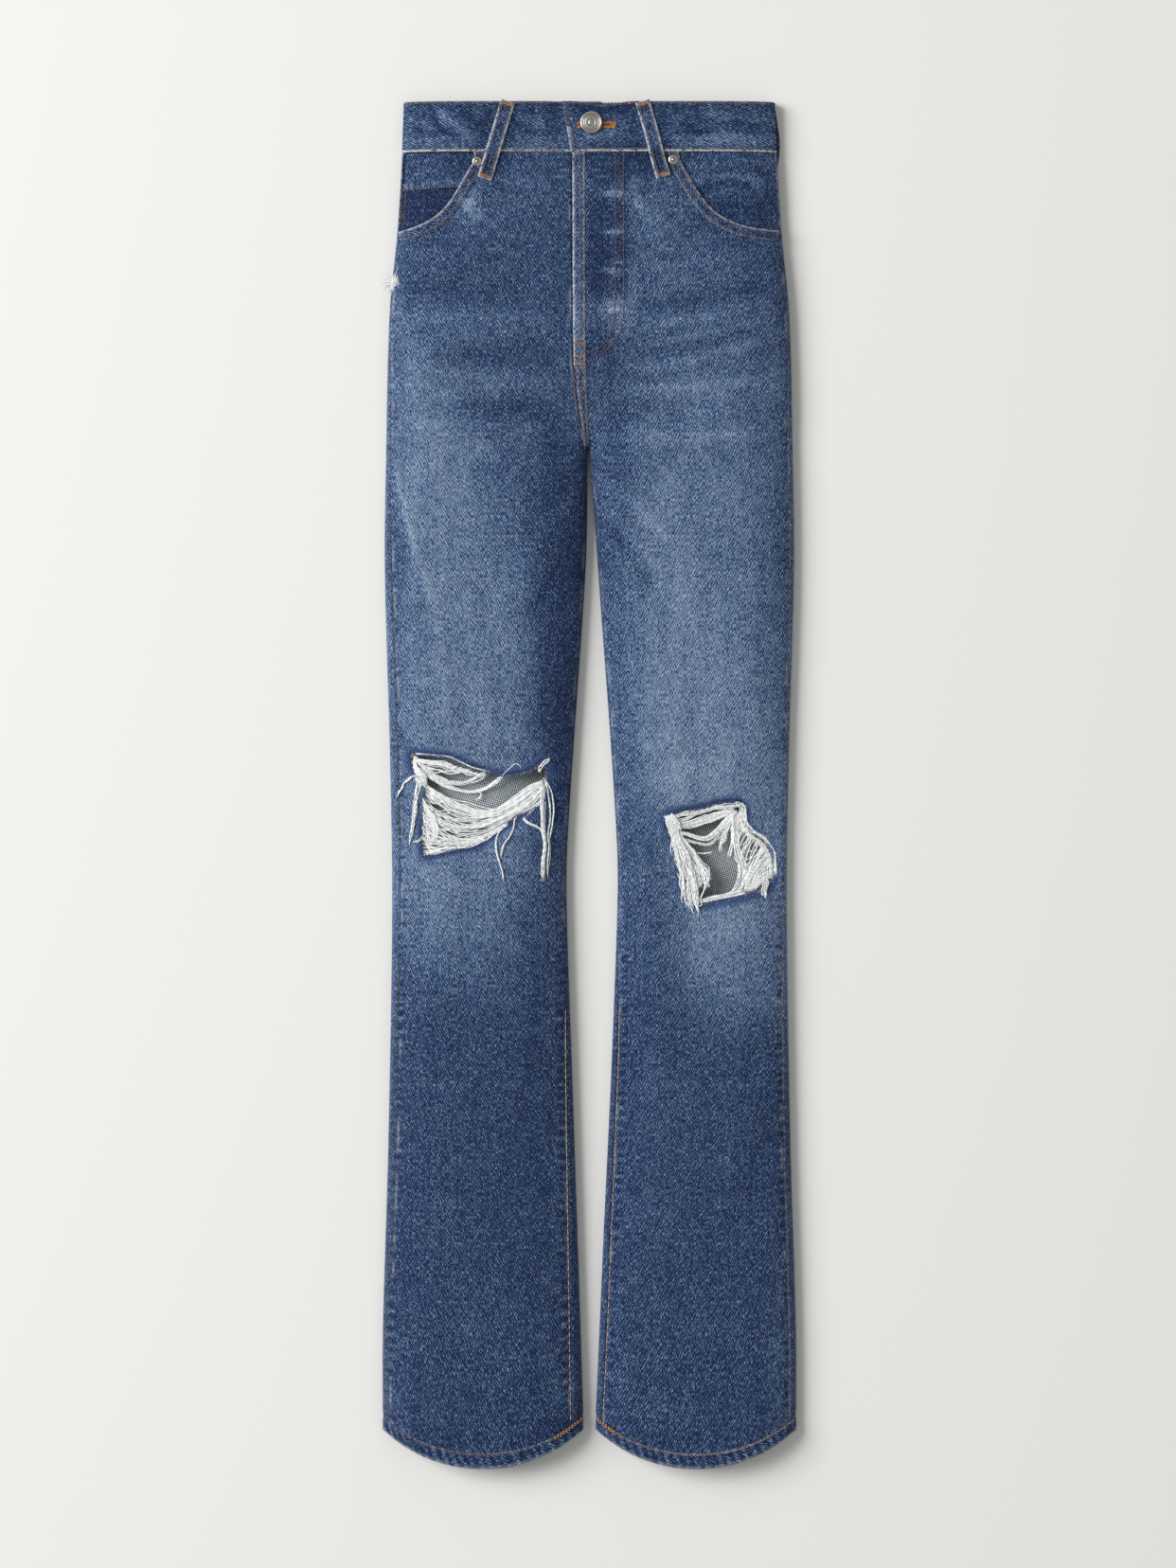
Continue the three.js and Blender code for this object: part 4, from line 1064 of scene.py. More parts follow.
# ---- Back pockets, on the underside ----
def back_pocket(name, side):
    """A five-sided patch pocket with a turned top, face down under the seat."""
    tip, top, point = 327, 466, 19
    v = np.linspace(0, 1, 60)[:, None]
    s = np.linspace(0, 1, 50)
    y = tip + (top - tip) * v
    inner, outer = 34 + 5 * (1 - v), 146 - 8 * (1 - v)
    middle = (inner + outer) / 2
    share = np.clip((y - tip) / point + 0.04, 0, 1)
    left, right = middle + (inner - middle) * share, middle + (outer - middle) * share
    x = side * (left + (right - left) * s)
    y = np.broadcast_to(y, x.shape)
    z = 0.1 + 0.5 * ramp(450, 448, y) + 0.0 * x
    points = np.stack([x, y, z], -1)
    fade, worn = 0.30 + 0.08 * ripple(x, y, 30, 30, 8), np.exp(-np.minimum(s, 1 - s) * 100 / 1.6)
    made = sheet(f"patch pocket {name}", points, y, side == LEFT, fade, worn, thickness=0.9)
    for row in (463.0, 450.5):
        sew("brown", [(side * 36, row), (side * 90, row), (side * 144, row)], under=True, height=0.1)
    for off in (1.8, 7.6):
        shoulder = 347 + off * 0.4
        corners = [(34 + off, 462), (39 + off, shoulder), (88.5, 328 + off), (138 - off, shoulder),
                   (146 - off, 462)]
        for a, b in zip(corners, corners[1:]):
            sew("brown", [(side * a[0], a[1]), (side * b[0], b[1])], under=True, height=0.45)
    return made


# ---- Metal ----
def turned(name, profile, centre, foot):
    """A turned piece: a profile of (radius, height, groove) carried once round its axis; it closes at the
    middle."""
    segments = 72
    r, z, groove = np.array(profile, float).T
    a = np.linspace(0, 2 * np.pi, segments, endpoint=False)
    points = np.stack([centre[0] + r[:, None] * np.cos(a), centre[1] + r[:, None] * np.sin(a),
                       foot + z[:, None] + 0 * a], -1).reshape(-1, 3)
    faces = grid_faces(len(r), segments, closed=True)
    return make_mesh(name, points, faces, [NICKEL], None, {"groove": np.repeat(groove, segments)})


# ---- Pulled yarns in the ripped knees ----
def strands(seed, upper, lower, count, drop, start=(0.0, 0.03), stop=(0.97, 1.0), wander=0.8, steps=30):
    """Yarns that fill the band between two given lines: each keeps its own share of the way from one
    to the other, wandering a little, and lies drop millimetres below the face (start, middle, end)."""
    rng = np.random.default_rng(seed)
    upper, lower = even(flow(upper, 16), 60), even(flow(lower, 16), 60)
    clump = rng.uniform(0, 1, count // 3 + 1)
    share = (np.repeat(clump, 3)[:count] + rng.normal(0, 0.022, count))[:, None]
    s0, s1 = rng.uniform(*start, count), rng.uniform(*stop, count)
    s = s0[:, None] + (s1 - s0)[:, None] * np.linspace(0, 1, steps)
    own = np.arange(count)[:, None] * 17.3 + seed
    late = rng.uniform(0, 40, count)[:, None]
    wave = lambda cell, kind: ripple(s + late, own, cell, 1, seed + kind)
    share = share + 0.11 * wave(0.33, 0) + 0.07 * wave(0.11, 1)
    take = lambda path, k: np.interp(s * 59, np.arange(60), path[:, k])
    xy = [take(upper, k) + (take(lower, k) - take(upper, k)) * share for k in (0, 1)]
    x = xy[0] + wander * (wave(0.16, 2) + 0.5 * wave(0.06, 5))
    y = xy[1] + wander * (wave(0.14, 3) + 0.5 * wave(0.07, 6))
    first, middle, last = drop
    below = first + (last - first) * s + (middle - (first + last) / 2) * 4 * s * (1 - s)
    layer = rng.uniform(-0.8, 0.8, count)[:, None] + 0.4 * wave(0.2, 4)
    lowest = 1.8 + RISE * slack(x, y)  # clear of the back panel behind the knee
    z = np.maximum(face_height(x, y) - below + layer * np.clip(np.abs(below) + 0.3, 0, 1), lowest)
    return np.stack([x, y, z], -1)


def hairs(seed, outline, count, length, out, proud, wild=0.9):
    """Short loose ends along a line: each leaves it at its own slant, out being how far the way they point
    is turned from along the line to across it."""
    rng = np.random.default_rng(seed)
    ring = even(outline, 400)
    along = unit(np.gradient(ring, axis=0), 1e-9)
    pick = rng.integers(0, len(ring), count)
    turn = out + rng.normal(0, wild, count)
    c, s = np.cos(turn), np.sin(turn)
    way = np.column_stack([along[pick, 0] * c - along[pick, 1] * s, along[pick, 0] * s + along[pick, 1] * c])
    t = np.linspace(0, 1, 4)[None, :, None]
    reach = rng.uniform(0.4, 1, count)[:, None, None] * length
    curl = np.column_stack([-way[:, 1], way[:, 0]])[:, None] * rng.normal(0, 0.35, count)[:, None, None]
    xy = ring[pick][:, None] + way[:, None] * t * reach + curl * t ** 2 * reach
    z = face_height(xy[..., 0], xy[..., 1]) + proud + rng.uniform(-0.5, 0.5, count)[:, None] * t[..., 0]
    return np.concatenate([xy, z[..., None]], -1)


def tear_tuft():
    """The torn outseam's tuft: short weft ends that burst from the tear over the side fold."""
    rng = np.random.default_rng(71)
    count = 150
    turn = rng.uniform(-2.6, 2.6, count) + math.pi
    reach = rng.uniform(4.0, 11.0, count) * (0.62 + 0.38 * np.cos(turn - math.pi))
    t = np.linspace(0, 1, 6)[None]
    root = np.array([-165.6, 425.6]) + rng.normal(0, 1.6, (count, 2))
    bend = rng.normal(0, 0.5, count)[:, None]
    x = root[:, :1] + (np.cos(turn)[:, None] * t - bend * np.sin(turn)[:, None] * t ** 2) * reach[:, None]
    y = root[:, 1:] + (np.sin(turn)[:, None] * t + bend * np.cos(turn)[:, None] * t ** 2) * reach[:, None]
    edge = outer_edge(y)
    z = np.where(np.abs(x) < edge, top_height(x, y) + 0.5, 7.4 - 0.25 * (np.abs(x) - edge))
    z = z + rng.uniform(-0.3, 1.4, count)[:, None] * np.sin(np.pi * t * 0.8)
    return np.stack([x, y, z], -1)


def knee_right():
    """The wearer's right knee: a sagging sheet of weft across the foot of the hole, a loose bundle over it
    and a hank that hangs out of its inner corner."""
    mass_top = [(-140, 1.4), (-131.7, -4.4), (-115, -13), (-103.6, -17), (-95.8, -20), (-88, -21.4),
                (-78.4, -20), (-66.8, -13.2), (-52.2, -3.5), (-38.6, 5)]
    mass_foot = [(-141.4, -60), (-128, -58.6), (-115, -55), (-102, -52.6), (-90, -47.4), (-79, -40.2),
                 (-68, -32.4), (-57.4, -25.6), (-46, -20), (-37, -13)]
    fallen = [(-140.5, -22), (-131, -33), (-118, -42), (-104, -46), (-92, -44), (-82, -39), (-70, -32.4)]
    return [
        strands(1, mass_top, mass_foot, 38, (0.6, 2.2, 0.5), wander=1.2),
        strands(2, mass_top, fallen + [(-58, -25), (-46, -16), (-37, -3)], 26, (0.4, 1.2, 0.3), wander=1.2),
        strands(18, mass_top, [(-140, 0), (-131, -7.6), (-115, -17), (-103, -21.6), (-95, -25), (-88, -26),
                (-78, -25), (-66, -19), (-52, -9), (-37.6, 2)], 14, (0.2, 0.8, 0.2), wander=0.9),
        strands(3, [(-141, -8), (-134, -20), (-128, -34), (-129, -48)], [(-141, -48), (-139, -53),
                (-136, -55), (-133, -56)], 34, (0.2, 0.4, 0.5), stop=(0.7, 1.0), wander=1.0, steps=22),
        strands(4, fallen, mass_foot[:7], 32, (0.3, 0.7, 0.2), wander=1.1),
        strands(19, [(-147, 21), (-137, 20), (-126, 18), (-116, 17)], [(-145, 12), (-131, 4), (-113, -1),
                (-97, 2), (-84, 9)], 12, (0.2, 1.6, 0.2), wander=1.0),
        strands(40, [(-151, 26.8), (-135, 26), (-119, 24.2), (-110, 20.6), (-99, 15.4), (-83, 11.4),
                (-72, 9)], [(-148, 20), (-137, 18.4), (-127, 17), (-116, 13), (-104, 9.4), (-92, 6.6),
                (-80, 5)], 9, (0.1, 0.5, 0.1), stop=(0.6, 1.0), wander=1.1),
        strands(44, [(-150.4, 26.6), (-135, 25.8), (-119, 24.2), (-110, 20.6), (-99, 15.2), (-83, 11.2)],
                [(-149, 25), (-135, 24.2), (-119, 22.4), (-110, 18.8), (-99, 13.6), (-83, 9.6)],
                3, (0.2, 0.4, 0.2), wander=0.6),
        strands(45, [(-150, 25), (-150.4, 18), (-148, 11), (-142, 4)], [(-145, 24), (-146, 18), (-144, 12),
                (-139, 4)], 14, (0.2, 0.1, 0.2), stop=(0.8, 1.0), wander=0.8, steps=16),
        strands(20, [(-84, 0), (-76, 6), (-67, 15), (-61.5, 18.4), (-57.6, 15.6), (-57, 10)], [(-84, -1),
                (-75, 5), (-66, 14), (-61.4, 17.4), (-58.4, 15), (-57.8, 10)], 1, (1.2, -0.6, -0.4),
                wander=0.3),
        strands(5, [(-144, 16), (-133, 8), (-121, 1.5), (-105.5, -4.6), (-92, -3.6), (-80.3, 3.2),
                (-74, 9.6)], [(-144, 11), (-134.6, 5.2), (-122, -2), (-105.5, -6.6), (-91, -5.6), (-79, 1),
                (-70.6, 9)], 13, (0.2, 2.4, 0.2), wander=0.8),
        strands(6, [(-143, 17), (-130, 11), (-115, 5), (-104, 5), (-96, 9), (-90, 13)], [(-144, 14),
                (-131, 5), (-116, -2), (-103, -1), (-92, 5), (-82, 11)], 7, (0.2, 2.0, 0.2)),
        strands(7, [(-95.8, -4.6), (-92.2, -7), (-92.6, -10.4), (-96, -12.4)], [(-95.2, -5.2), (-91.4, -7.6),
                (-91.8, -11), (-95.4, -13)], 2, (2.0, 1.6, 1.4), steps=16),
        strands(8, [(-148, 18), (-143, 14), (-139, 10), (-138, 3)], [(-147, 5), (-143, 2), (-141, 0),
                (-139, -4)], 36, (0, -0.6, 0.4), wander=1.4, steps=14),
        strands(9, [(-144, 8), (-148, -6), (-150, -26), (-153, -53)], [(-141, 6), (-144, -8), (-147, -28),
                (-150, -50)], 7, (0, -0.7, -0.5), stop=(0.55, 1.0), wander=1.2, steps=20),
        strands(10, [(-146, 10), (-154, 7), (-160, -1), (-164, -9)], [(-146, 8), (-153, 5), (-159, -3),
                (-163, -10)], 3, (-0.3, -0.8, -0.5), wander=1.0, steps=16),
        strands(11, [(-141, -44), (-144, -47), (-149, -48.4)], [(-141, -45), (-144, -48), (-148, -49.2)],
                2, (0.2, -0.6, -0.5), steps=12),
        strands(12, [(-41.5, 4), (-42, -10), (-41.3, -24), (-40.6, -38), (-38.5, -51), (-40.3, -66),
                (-40.3, -81)], [(-38, 7), (-33.5, -8), (-32.8, -25), (-34.6, -41), (-33, -51.5),
                (-34.5, -67), (-35, -84)], 15, (0.4, -0.9, -0.6), stop=(0.86, 1.0), wander=0.9),
        strands(13, [(-40, 5), (-34, -4), (-31.2, -18), (-31.6, -32), (-33.8, -44)], [(-38.6, 6),
                (-32.8, -4), (-30.2, -18), (-30.8, -32), (-33, -45)], 3, (0.2, -0.8, -0.7), wander=0.5),
        strands(14, [(-55.1, -26), (-51.2, -31), (-42.5, -35), (-38, -41)], [(-57, -28.4), (-52.2, -32.6),
                (-43.5, -36.4), (-39, -42)], 4, (0.3, -0.8, -0.9), wander=0.6, steps=18),
        strands(15, [(-60, -26.4), (-62.4, -29), (-63.8, -38.4), (-71.6, -51), (-74.5, -60.7)], [(-61, -27),
                (-63.6, -30), (-65, -38.8), (-72.6, -51.4), (-75.3, -61)], 3, (0.3, -0.7, -0.8), wander=0.4),
        strands(16, [(-74, -35), (-78, -47.1), (-76.8, -58.7), (-73.2, -70.4), (-71.8, -82.4)],
                [(-75, -36.4), (-79.6, -47.4), (-78.2, -59), (-74.6, -70.8), (-73.2, -82)],
                5, (0.3, -0.8, -0.6), stop=(0.9, 1.0), wander=0.6),
        strands(17, [(-44, 12), (-41.4, 17), (-37, 21), (-33.4, 22.6)], [(-42, 10), (-39.6, 15), (-36, 19),
                (-33, 21.2)], 5, (0.2, -0.5, -0.4), wander=0.8, steps=14),
    ]


def knee_left():
    """The wearer's left knee: bundles fan out of a tuft at the outer corner and hang as a broad hank below
    it, with slanted weft left along the other side."""
    return [
        strands(42, [(65, -25.6), (83, -21), (97, -18.2), (112, -14.6), (127, -14.6)], [(67, -29), (83, -26),
                (97, -23), (112, -19.4), (127, -18.4)], 9, (0.1, 0.3, 0.1), wander=1.0),
        strands(43, [(132, -17), (133.4, -31), (139, -39), (147.4, -44), (154, -52.6), (157.2, -66),
                (157.2, -78)], [(127, -18), (127, -34), (133, -44), (141, -49), (148, -57), (151, -68),
                (150, -80)], 15, (-0.1, 0.2, -0.1), wander=1.3),
        strands(46, [(64, -25.6), (65.4, -33), (68, -42)], [(66.6, -26), (68, -33), (71, -41)],
                12, (0.1, 0, 0.1), wander=0.6, steps=14),
        strands(47, [(122, -14.4), (130.6, -16.4), (132.6, -31)], [(122, -17), (128, -20), (129.4, -31)],
                12, (0.1, 0.2, 0.1), wander=0.7, steps=18),
        strands(21, [(66, -27), (72, -29), (80, -28), (92, -23), (106, -19), (126, -17)], [(68, -36),
                (75, -36), (86, -35.6), (97, -33), (107, -29), (122, -24)], 26, (0, 1.4, 0.3), wander=0.9),
        strands(22, [(70, -37), (84.5, -40.8), (95, -43.8), (103, -41), (110, -34), (116, -27), (124, -21)],
                [(71, -41), (85, -44.6), (96, -48), (105, -46), (112.6, -37.6), (118, -30), (127, -23)],
                15, (0, 2.2, 0.3), wander=0.7),
        strands(23, [(72, -42), (86, -46.6), (99, -49.6), (104.4, -47), (109, -40), (115, -33), (121, -27)],
                [(72, -44), (86, -49), (100.4, -51.6), (106, -48.6), (110.6, -41), (117, -34), (123, -28)],
                9, (0, 3.0, 0.3), wander=0.5),
        strands(24, [(118, -24), (114, -30), (109, -40), (105.6, -50)], [(126, -24), (122, -36), (118, -50),
                (113, -65)], 17, (0.2, 2.0, 2.6), stop=(0.6, 1.0), wander=1.2, steps=24),
        strands(25, [(121, -24), (121, -38), (119.6, -52), (117, -66)], [(125, -24), (125, -40), (124, -58),
                (121, -76)], 9, (0.2, 1.8, 2.2), stop=(0.65, 1.0), wander=0.9, steps=24),
        strands(26, [(120, -22), (121.6, -42), (123.4, -56), (126.4, -69), (125.6, -81), (121, -89),
                (113, -92.4), (104, -93.6), (97, -94.6)], [(128, -24), (127, -42), (128, -56), (133, -69),
                (133.6, -82), (127, -92), (114, -95), (104, -96.4), (96, -98)], 22, (0.2, 1.2, 0.4),
                stop=(0.5, 1.0), wander=1.0, steps=36),
        strands(27, [(130, -20), (129, -30), (124, -42), (122, -52)], [(137.6, -42), (134, -48),
                (130.6, -53), (127.4, -58)], 13, (0.3, 1.2, 1.0), wander=0.8, steps=20),
        strands(28, [(136, -42), (132, -52), (128, -62), (126, -74)], [(151, -54), (145, -62), (139, -71),
                (133, -84)], 30, (0.3, 0.8, 0.9), wander=1.1, steps=24),
        strands(29, [(150, -52), (143, -62), (136, -74), (131, -90)], [(156, -74), (150, -77), (143, -83),
                (137.6, -90)], 40, (0.3, 0.5, 0.6), wander=1.1, steps=24),
        strands(30, [(122, -60), (127, -66), (133, -72), (138, -76)], [(123, -64), (128, -70), (134, -75),
                (138, -79)], 4, (1.0, -0.2, 0.4), wander=0.6, steps=14),
        strands(31, [(156, -74), (149, -74.6), (142, -80), (137, -86)], [(156, -79), (150, -79), (145, -84),
                (140, -89)], 12, (0.2, 0.2, 0.5), wander=0.4, steps=18),
        strands(32, [(147.6, -77), (146.4, -84), (145.6, -90), (146.2, -96.4)], [(154, -77), (153.6, -84),
                (152.6, -89), (152.4, -94.6)], 11, (0.2, -0.9, -0.6), stop=(0.86, 1.0), wander=0.5,
                steps=16),
        strands(33, [(68, -38), (70.4, -48), (70.6, -58), (76, -70), (78, -81), (80.2, -96), (84, -108)],
                [(76, -40), (84, -49), (92, -57), (99, -67), (103.6, -77), (100, -87), (94, -98)],
                60, (0, 0.2, -0.7), stop=(0.6, 1.0), wander=1.5, steps=34),
        strands(34, [(69, -36), (71, -48), (74, -60), (79, -76), (82, -92), (86, -104), (90, -110)],
                [(73, -37), (80, -52), (86, -66), (90, -80), (91, -92), (92, -102), (94.6, -112)],
                32, (-0.2, -0.9, -0.9), stop=(0.75, 1.0), wander=1.7, steps=34),
        strands(35, [(90, -62), (97, -70), (103, -77)], [(88, -78), (96, -82), (102, -88)],
                20, (0.6, 0.6, 1.2), stop=(0.7, 1.0), wander=1.4, steps=12),
        strands(36, [(91, -94), (94, -97), (95, -101), (92, -103)], [(90, -96), (92.8, -98), (93.6, -101),
                (91, -102)], 3, (-0.4, -0.9, -0.6), wander=0.3, steps=14),
        strands(37, [(90, -97), (102, -95.6), (114, -93), (124, -90), (132, -88)], [(88, -100), (102, -99.4),
                (114, -97), (124, -95), (133, -93)], 12, (0.4, 1.2, 0.6), wander=0.8),
        strands(38, [(64, -26), (67, -29), (70, -34), (72, -40)], [(71, -25), (74, -29), (76, -34),
                (77, -38)], 50, (-0.2, -0.9, -0.2), wander=1.6, steps=12),
        strands(39, [(86, -57.4), (92, -58), (98, -58.4), (104.4, -57.6)], [(86, -56), (92, -57),
                (98, -57.4), (104, -56.6)], 3, (1.0, 2.0, 2.4), wander=0.4, steps=14),
    ]


def yarn_mesh(name, bundles, seed):
    """Joins bundles of unlike lengths into one mesh, by cutting each into the same number of steps."""
    rng = np.random.default_rng(seed)
    steps = 26
    cut = []
    for paths in bundles:
        at = np.linspace(0, paths.shape[1] - 1, steps)
        low = np.minimum(at.astype(int), paths.shape[1] - 2)
        part = (at - low)[None, :, None]
        cut.append(paths[:, low] * (1 - part) + paths[:, low + 1] * part)
    paths = np.concatenate(cut)
    return tubes(name, paths, rng.uniform(0.36, 0.58, len(paths)), YARN)


# ---- Putting it together ----
NARROWEST = 0.0101  # of a sheet's flat width, in metres


def declare(piece, nodes=()):
    """Hides the frame's parts that a piece of cloth replaces, and works out the flat size that its own mesh
    gives, which is not kept.
    """
    if nodes:
        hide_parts(*nodes)
    mesh = piece.data
    areas = np.zeros(len(mesh.polygons))
    mesh.polygons.foreach_get("area", areas)
    places = np.zeros(len(mesh.loops) * 2)
    mesh.uv_layers["cloth"].data.foreach_get("uv", places)
    width, length = sorted(np.ptp(places.reshape(-1, 2), axis=0))
    area = areas.sum() * (1.0 if piece.modifiers else 0.5)  # a strip's mesh has both of its faces
    width = max(width, NARROWEST)
    length = max(length, area / width)
    area = min(max(area, 0.31 * width * length), width * length)


def put_on_top():
    """Every stitched row on the fronts, waistband, fly and hems."""
    for name, side in SIDES:
        scoop = SCOOPS[name]
        scoop = scoop[(scoop[:, 1] < BAND_FOOT) & (np.abs(scoop[:, 0]) < outer_edge(scoop[:, 1]) - 2.5)]
        for off in (1.5, 7.4):
            row = scoop + off * into_front(scoop, side)
            row = row[(np.abs(row[:, 0]) < outer_edge(row[:, 1]) - 2.2) & (row[:, 1] < BAND_FOOT)]
            sew("brown", even(row, 24), proud=0.85)
    # Waistband rows and the tab's end.
    sew("brown", [(-19, 576.2), (40, 576.4), (100, 576.2), (153, 575.8)], proud=0.78, pitch=2.8)
    sew("brown", [(-155, 576), (-100, 576.2), (-30, 576.2)], proud=0.78, pitch=2.8)
    sew("brown", [(-13, 537.2), (60, 537.2), (120, 537), (156, 537)], proud=0.88, pitch=2.8)
    sew("brown", [(-156, 537.4), (-100, 537.2), (-60, 536.6), (-22, 536.4)], proud=0.88, pitch=2.8)
    sew("brown", [(-19.4, 574), (-16.6, 560), (-12.6, 538)], proud=0.85, pitch=2.8)
    # The fly: its fold, the curved rows and the box at their foot.
    sew("brown", [(-7.8, 534), (-7.6, 450), (-7.2, 374)], proud=0.85)
    sew("brown", [(22, 534), (22, 470), (21.6, 410), (19, 386), (11, 371), (-2, 364.6)], proud=0.12)
    sew("brown", [(28.8, 534), (28.8, 470), (28.6, 400), (23.4, 379.4), (13.8, 366), (4.5, 359.2),
                  (-3, 356.6)], proud=0.12)
    for x in (-12.2, -4.0):
        sew("orange", [(x, 372.4), (x, 355)], proud=0.85, pitch=2.2)
    for y in (372.6, 361.6, 355.0):
        bar_tack("orange", (-12.6, y), (-3.2, y), 1.7, proud=0.95)
    sew("brown", [(-9.6, 352), (-7.2, 327), (-4.4, 303), (-3.0, 290)], proud=0.85)
    sew("brown", [(-3.8, 352), (-2.9, 327), (-2.2, 303), (-1.8, 290)], proud=0.85)
    sew("brown", [(-13.2, 350), (-11.6, 327), (-8.2, 302.7)], proud=0.15)
    # Coin pocket.
    sew("brown", [(-160, 502.6), (-140, 503.8), (-106, 505.8)], proud=-1.3, pitch=2.6)
    for x in (-158.6, -155.4):
        sew("brown", [(x, 502), (x - 0.6, 486), (x - 1.6, 472)], proud=-1.9, pitch=2.6)
    # Inseams and the right outseam's foot.
    for side in (RIGHT, LEFT):
        for thread, start in (("cream", -190), ("orange", -192)):
            v = np.linspace(start, HEM + 14, 22)
            x = inner_edge(side, v) + side * (INSEAM[side](v) + 1.1)
            sew(thread, np.column_stack([x, v]), proud=-0.1, pitch=6.0, thick=0.55)
        v = HEM + 9.2
        across = np.linspace(half_gap(HEM) + 1.5, outer_edge(HEM) - 2, 24)
        row = np.column_stack([side * across, np.full(24, v)])
        sew("brown" if side == RIGHT else "orange", row, proud=0.5)
        stop = side * (30 if side == RIGHT else 22)
        for off in (-0.9, 0.7):
            sew("orange", [(side * 6, v + off), (side * 14, v + off), (stop, v + off)], proud=0.8, pitch=2.4,
                thick=1.2)


FRONT_LOOPS = {"right": ((-68.8, 577.6), (-88.6, 511.8)), "left": ((44.8, 577.6), (62.6, 513.4))}


def build():
    """Every cut piece of cloth, by name."""
    shown = {}
    for name, side in SIDES:
        shown[f"front {name}"] = front(name, side)
        shown[f"back {name}"], shown[f"yoke {name}"] = back(name, side)
        shown[f"back pocket {name}"] = back_pocket(name, side)
        shown[f"mouth {name}"] = pocket_mouth(name, side)
        shown[f"hem {name}"] = hem(name, side)
    shown["facing right"] = facing("facing right", RIGHT, 455, 534.7, 76, 3.4)
    shown["facing left"] = facing("facing left", LEFT, 455, 534.7, 92, 1.5, fade=-0.07)
    shown["coin"] = facing("coin patch", RIGHT, 458, 508.4, 62, 1.5, fade=-0.03, slant=-3.2)
    shown["band"] = waistband()
    shown["fly fold"] = flat_strip("fly fold", [(-14.4, 534.6), (-14.2, 450), (-13.6, 380), (-13, 354)],
                                   [(-3.6, 534.6), (-3.6, 450), (-3.2, 380), (-2.8, 354)], 0.14)
    crotch_lines = ([(-12.1, 353.4), (-9.7, 327), (-6.2, 302.7), (-4.6, 287)],
                    [(-2.4, 353.4), (-1.6, 327), (-1.0, 303), (-0.6, 287)])
    shown["crotch seam"] = flat_strip("crotch seam", *crotch_lines, -0.04, wear=(0.2, 0.3))
    shown["fly under"] = flat_strip("fly underlap", [(-34, 534.4), (-34, 450), (-30, 374)],
                                    [(17, 534.4), (17, 450), (15, 374)], 0.0, proud=-1.6, thick=1.2)
    top, foot = FRONT_LOOPS["right"]
    other_top, other_foot = FRONT_LOOPS["left"]
    loops = {
        "front right": [top, (-78, 547), (-83, 530), foot],
        "front left": [other_top, (53.5, 547), (57.6, 530), other_foot],
        "back right": [(-122.5, 577.6), (-122.5, 512.4)],
        "back centre": [(15.5, 577.6), (15.5, 512.4)],
        "back left": [(150.4, 577.6), (153.2, 562), (155.4, 544), (154, 528), (150, 512.4)],
    }
    for name, path in loops.items():
        shown[f"loop {name}"] = belt_loop(f"loop {name}", path, under=name.startswith("back"))
    return shown


def loops_and_buttonhole():
    """The front loops' rows and bar tacks, and the buttonhole's bars with the knot that closes it."""
    for ends in FRONT_LOOPS.values():
        top, foot = np.array(ends)
        along = (foot - top) / np.linalg.norm(foot - top)
        across = np.array([-along[1], along[0]])
        for off in (-3.6, 3.6):
            row = [point + across * off for point in (top + along * 4, top + along * 34, foot - along * 3)]
            sew("brown", row, proud=LOOP_THICK + BAND_PROUD + 0.1, pitch=2.6)
        for middle, under in ((top + along * 2.6, BAND_PROUD), (foot - along * 2.6, 0)):
            bar_tack("orange", middle - across * 5.2, middle + across * 5.2, 2.2,
                     proud=LOOP_THICK + under + 0.2)
    for y in (559.3, 556.1):
        bar_tack("orange", (-10.6, y), (21.0, y), 2.6, proud=BAND_PROUD + 0.2)
    bar_tack("orange", (20.4, 554.6), (22.4, 560.6), 2.2, proud=BAND_PROUD + 0.5)
    bar_tack("orange", (16.8, 559.8), (22.2, 556.6), 1.8, proud=BAND_PROUD + 0.7)
    bar_tack("orange", (33.7, 575.4), (33.7, 577.4), 2.6, proud=BAND_PROUD + 0.2)


def join_threads():
    """One mesh for all the stitches of each thread."""
    made = []
    for thread, rows in THREADS.items():
        points = np.concatenate(rows)
        faces = grid_faces(5, 6, closed=True)[None] + (np.arange(len(points)) * 30)[:, None, None]
        uv = np.stack(np.meshgrid(np.arange(6) / 6, np.arange(5) / 4), -1).reshape(1, 30, 2)
        uv = np.broadcast_to(uv, (len(points), 30, 2)).reshape(-1, 2)
        made.append(make_mesh(f"{thread} stitches", points.reshape(-1, 3), faces.reshape(-1, 4),
                              [THREAD_FINISH[thread]], uv))
    return made


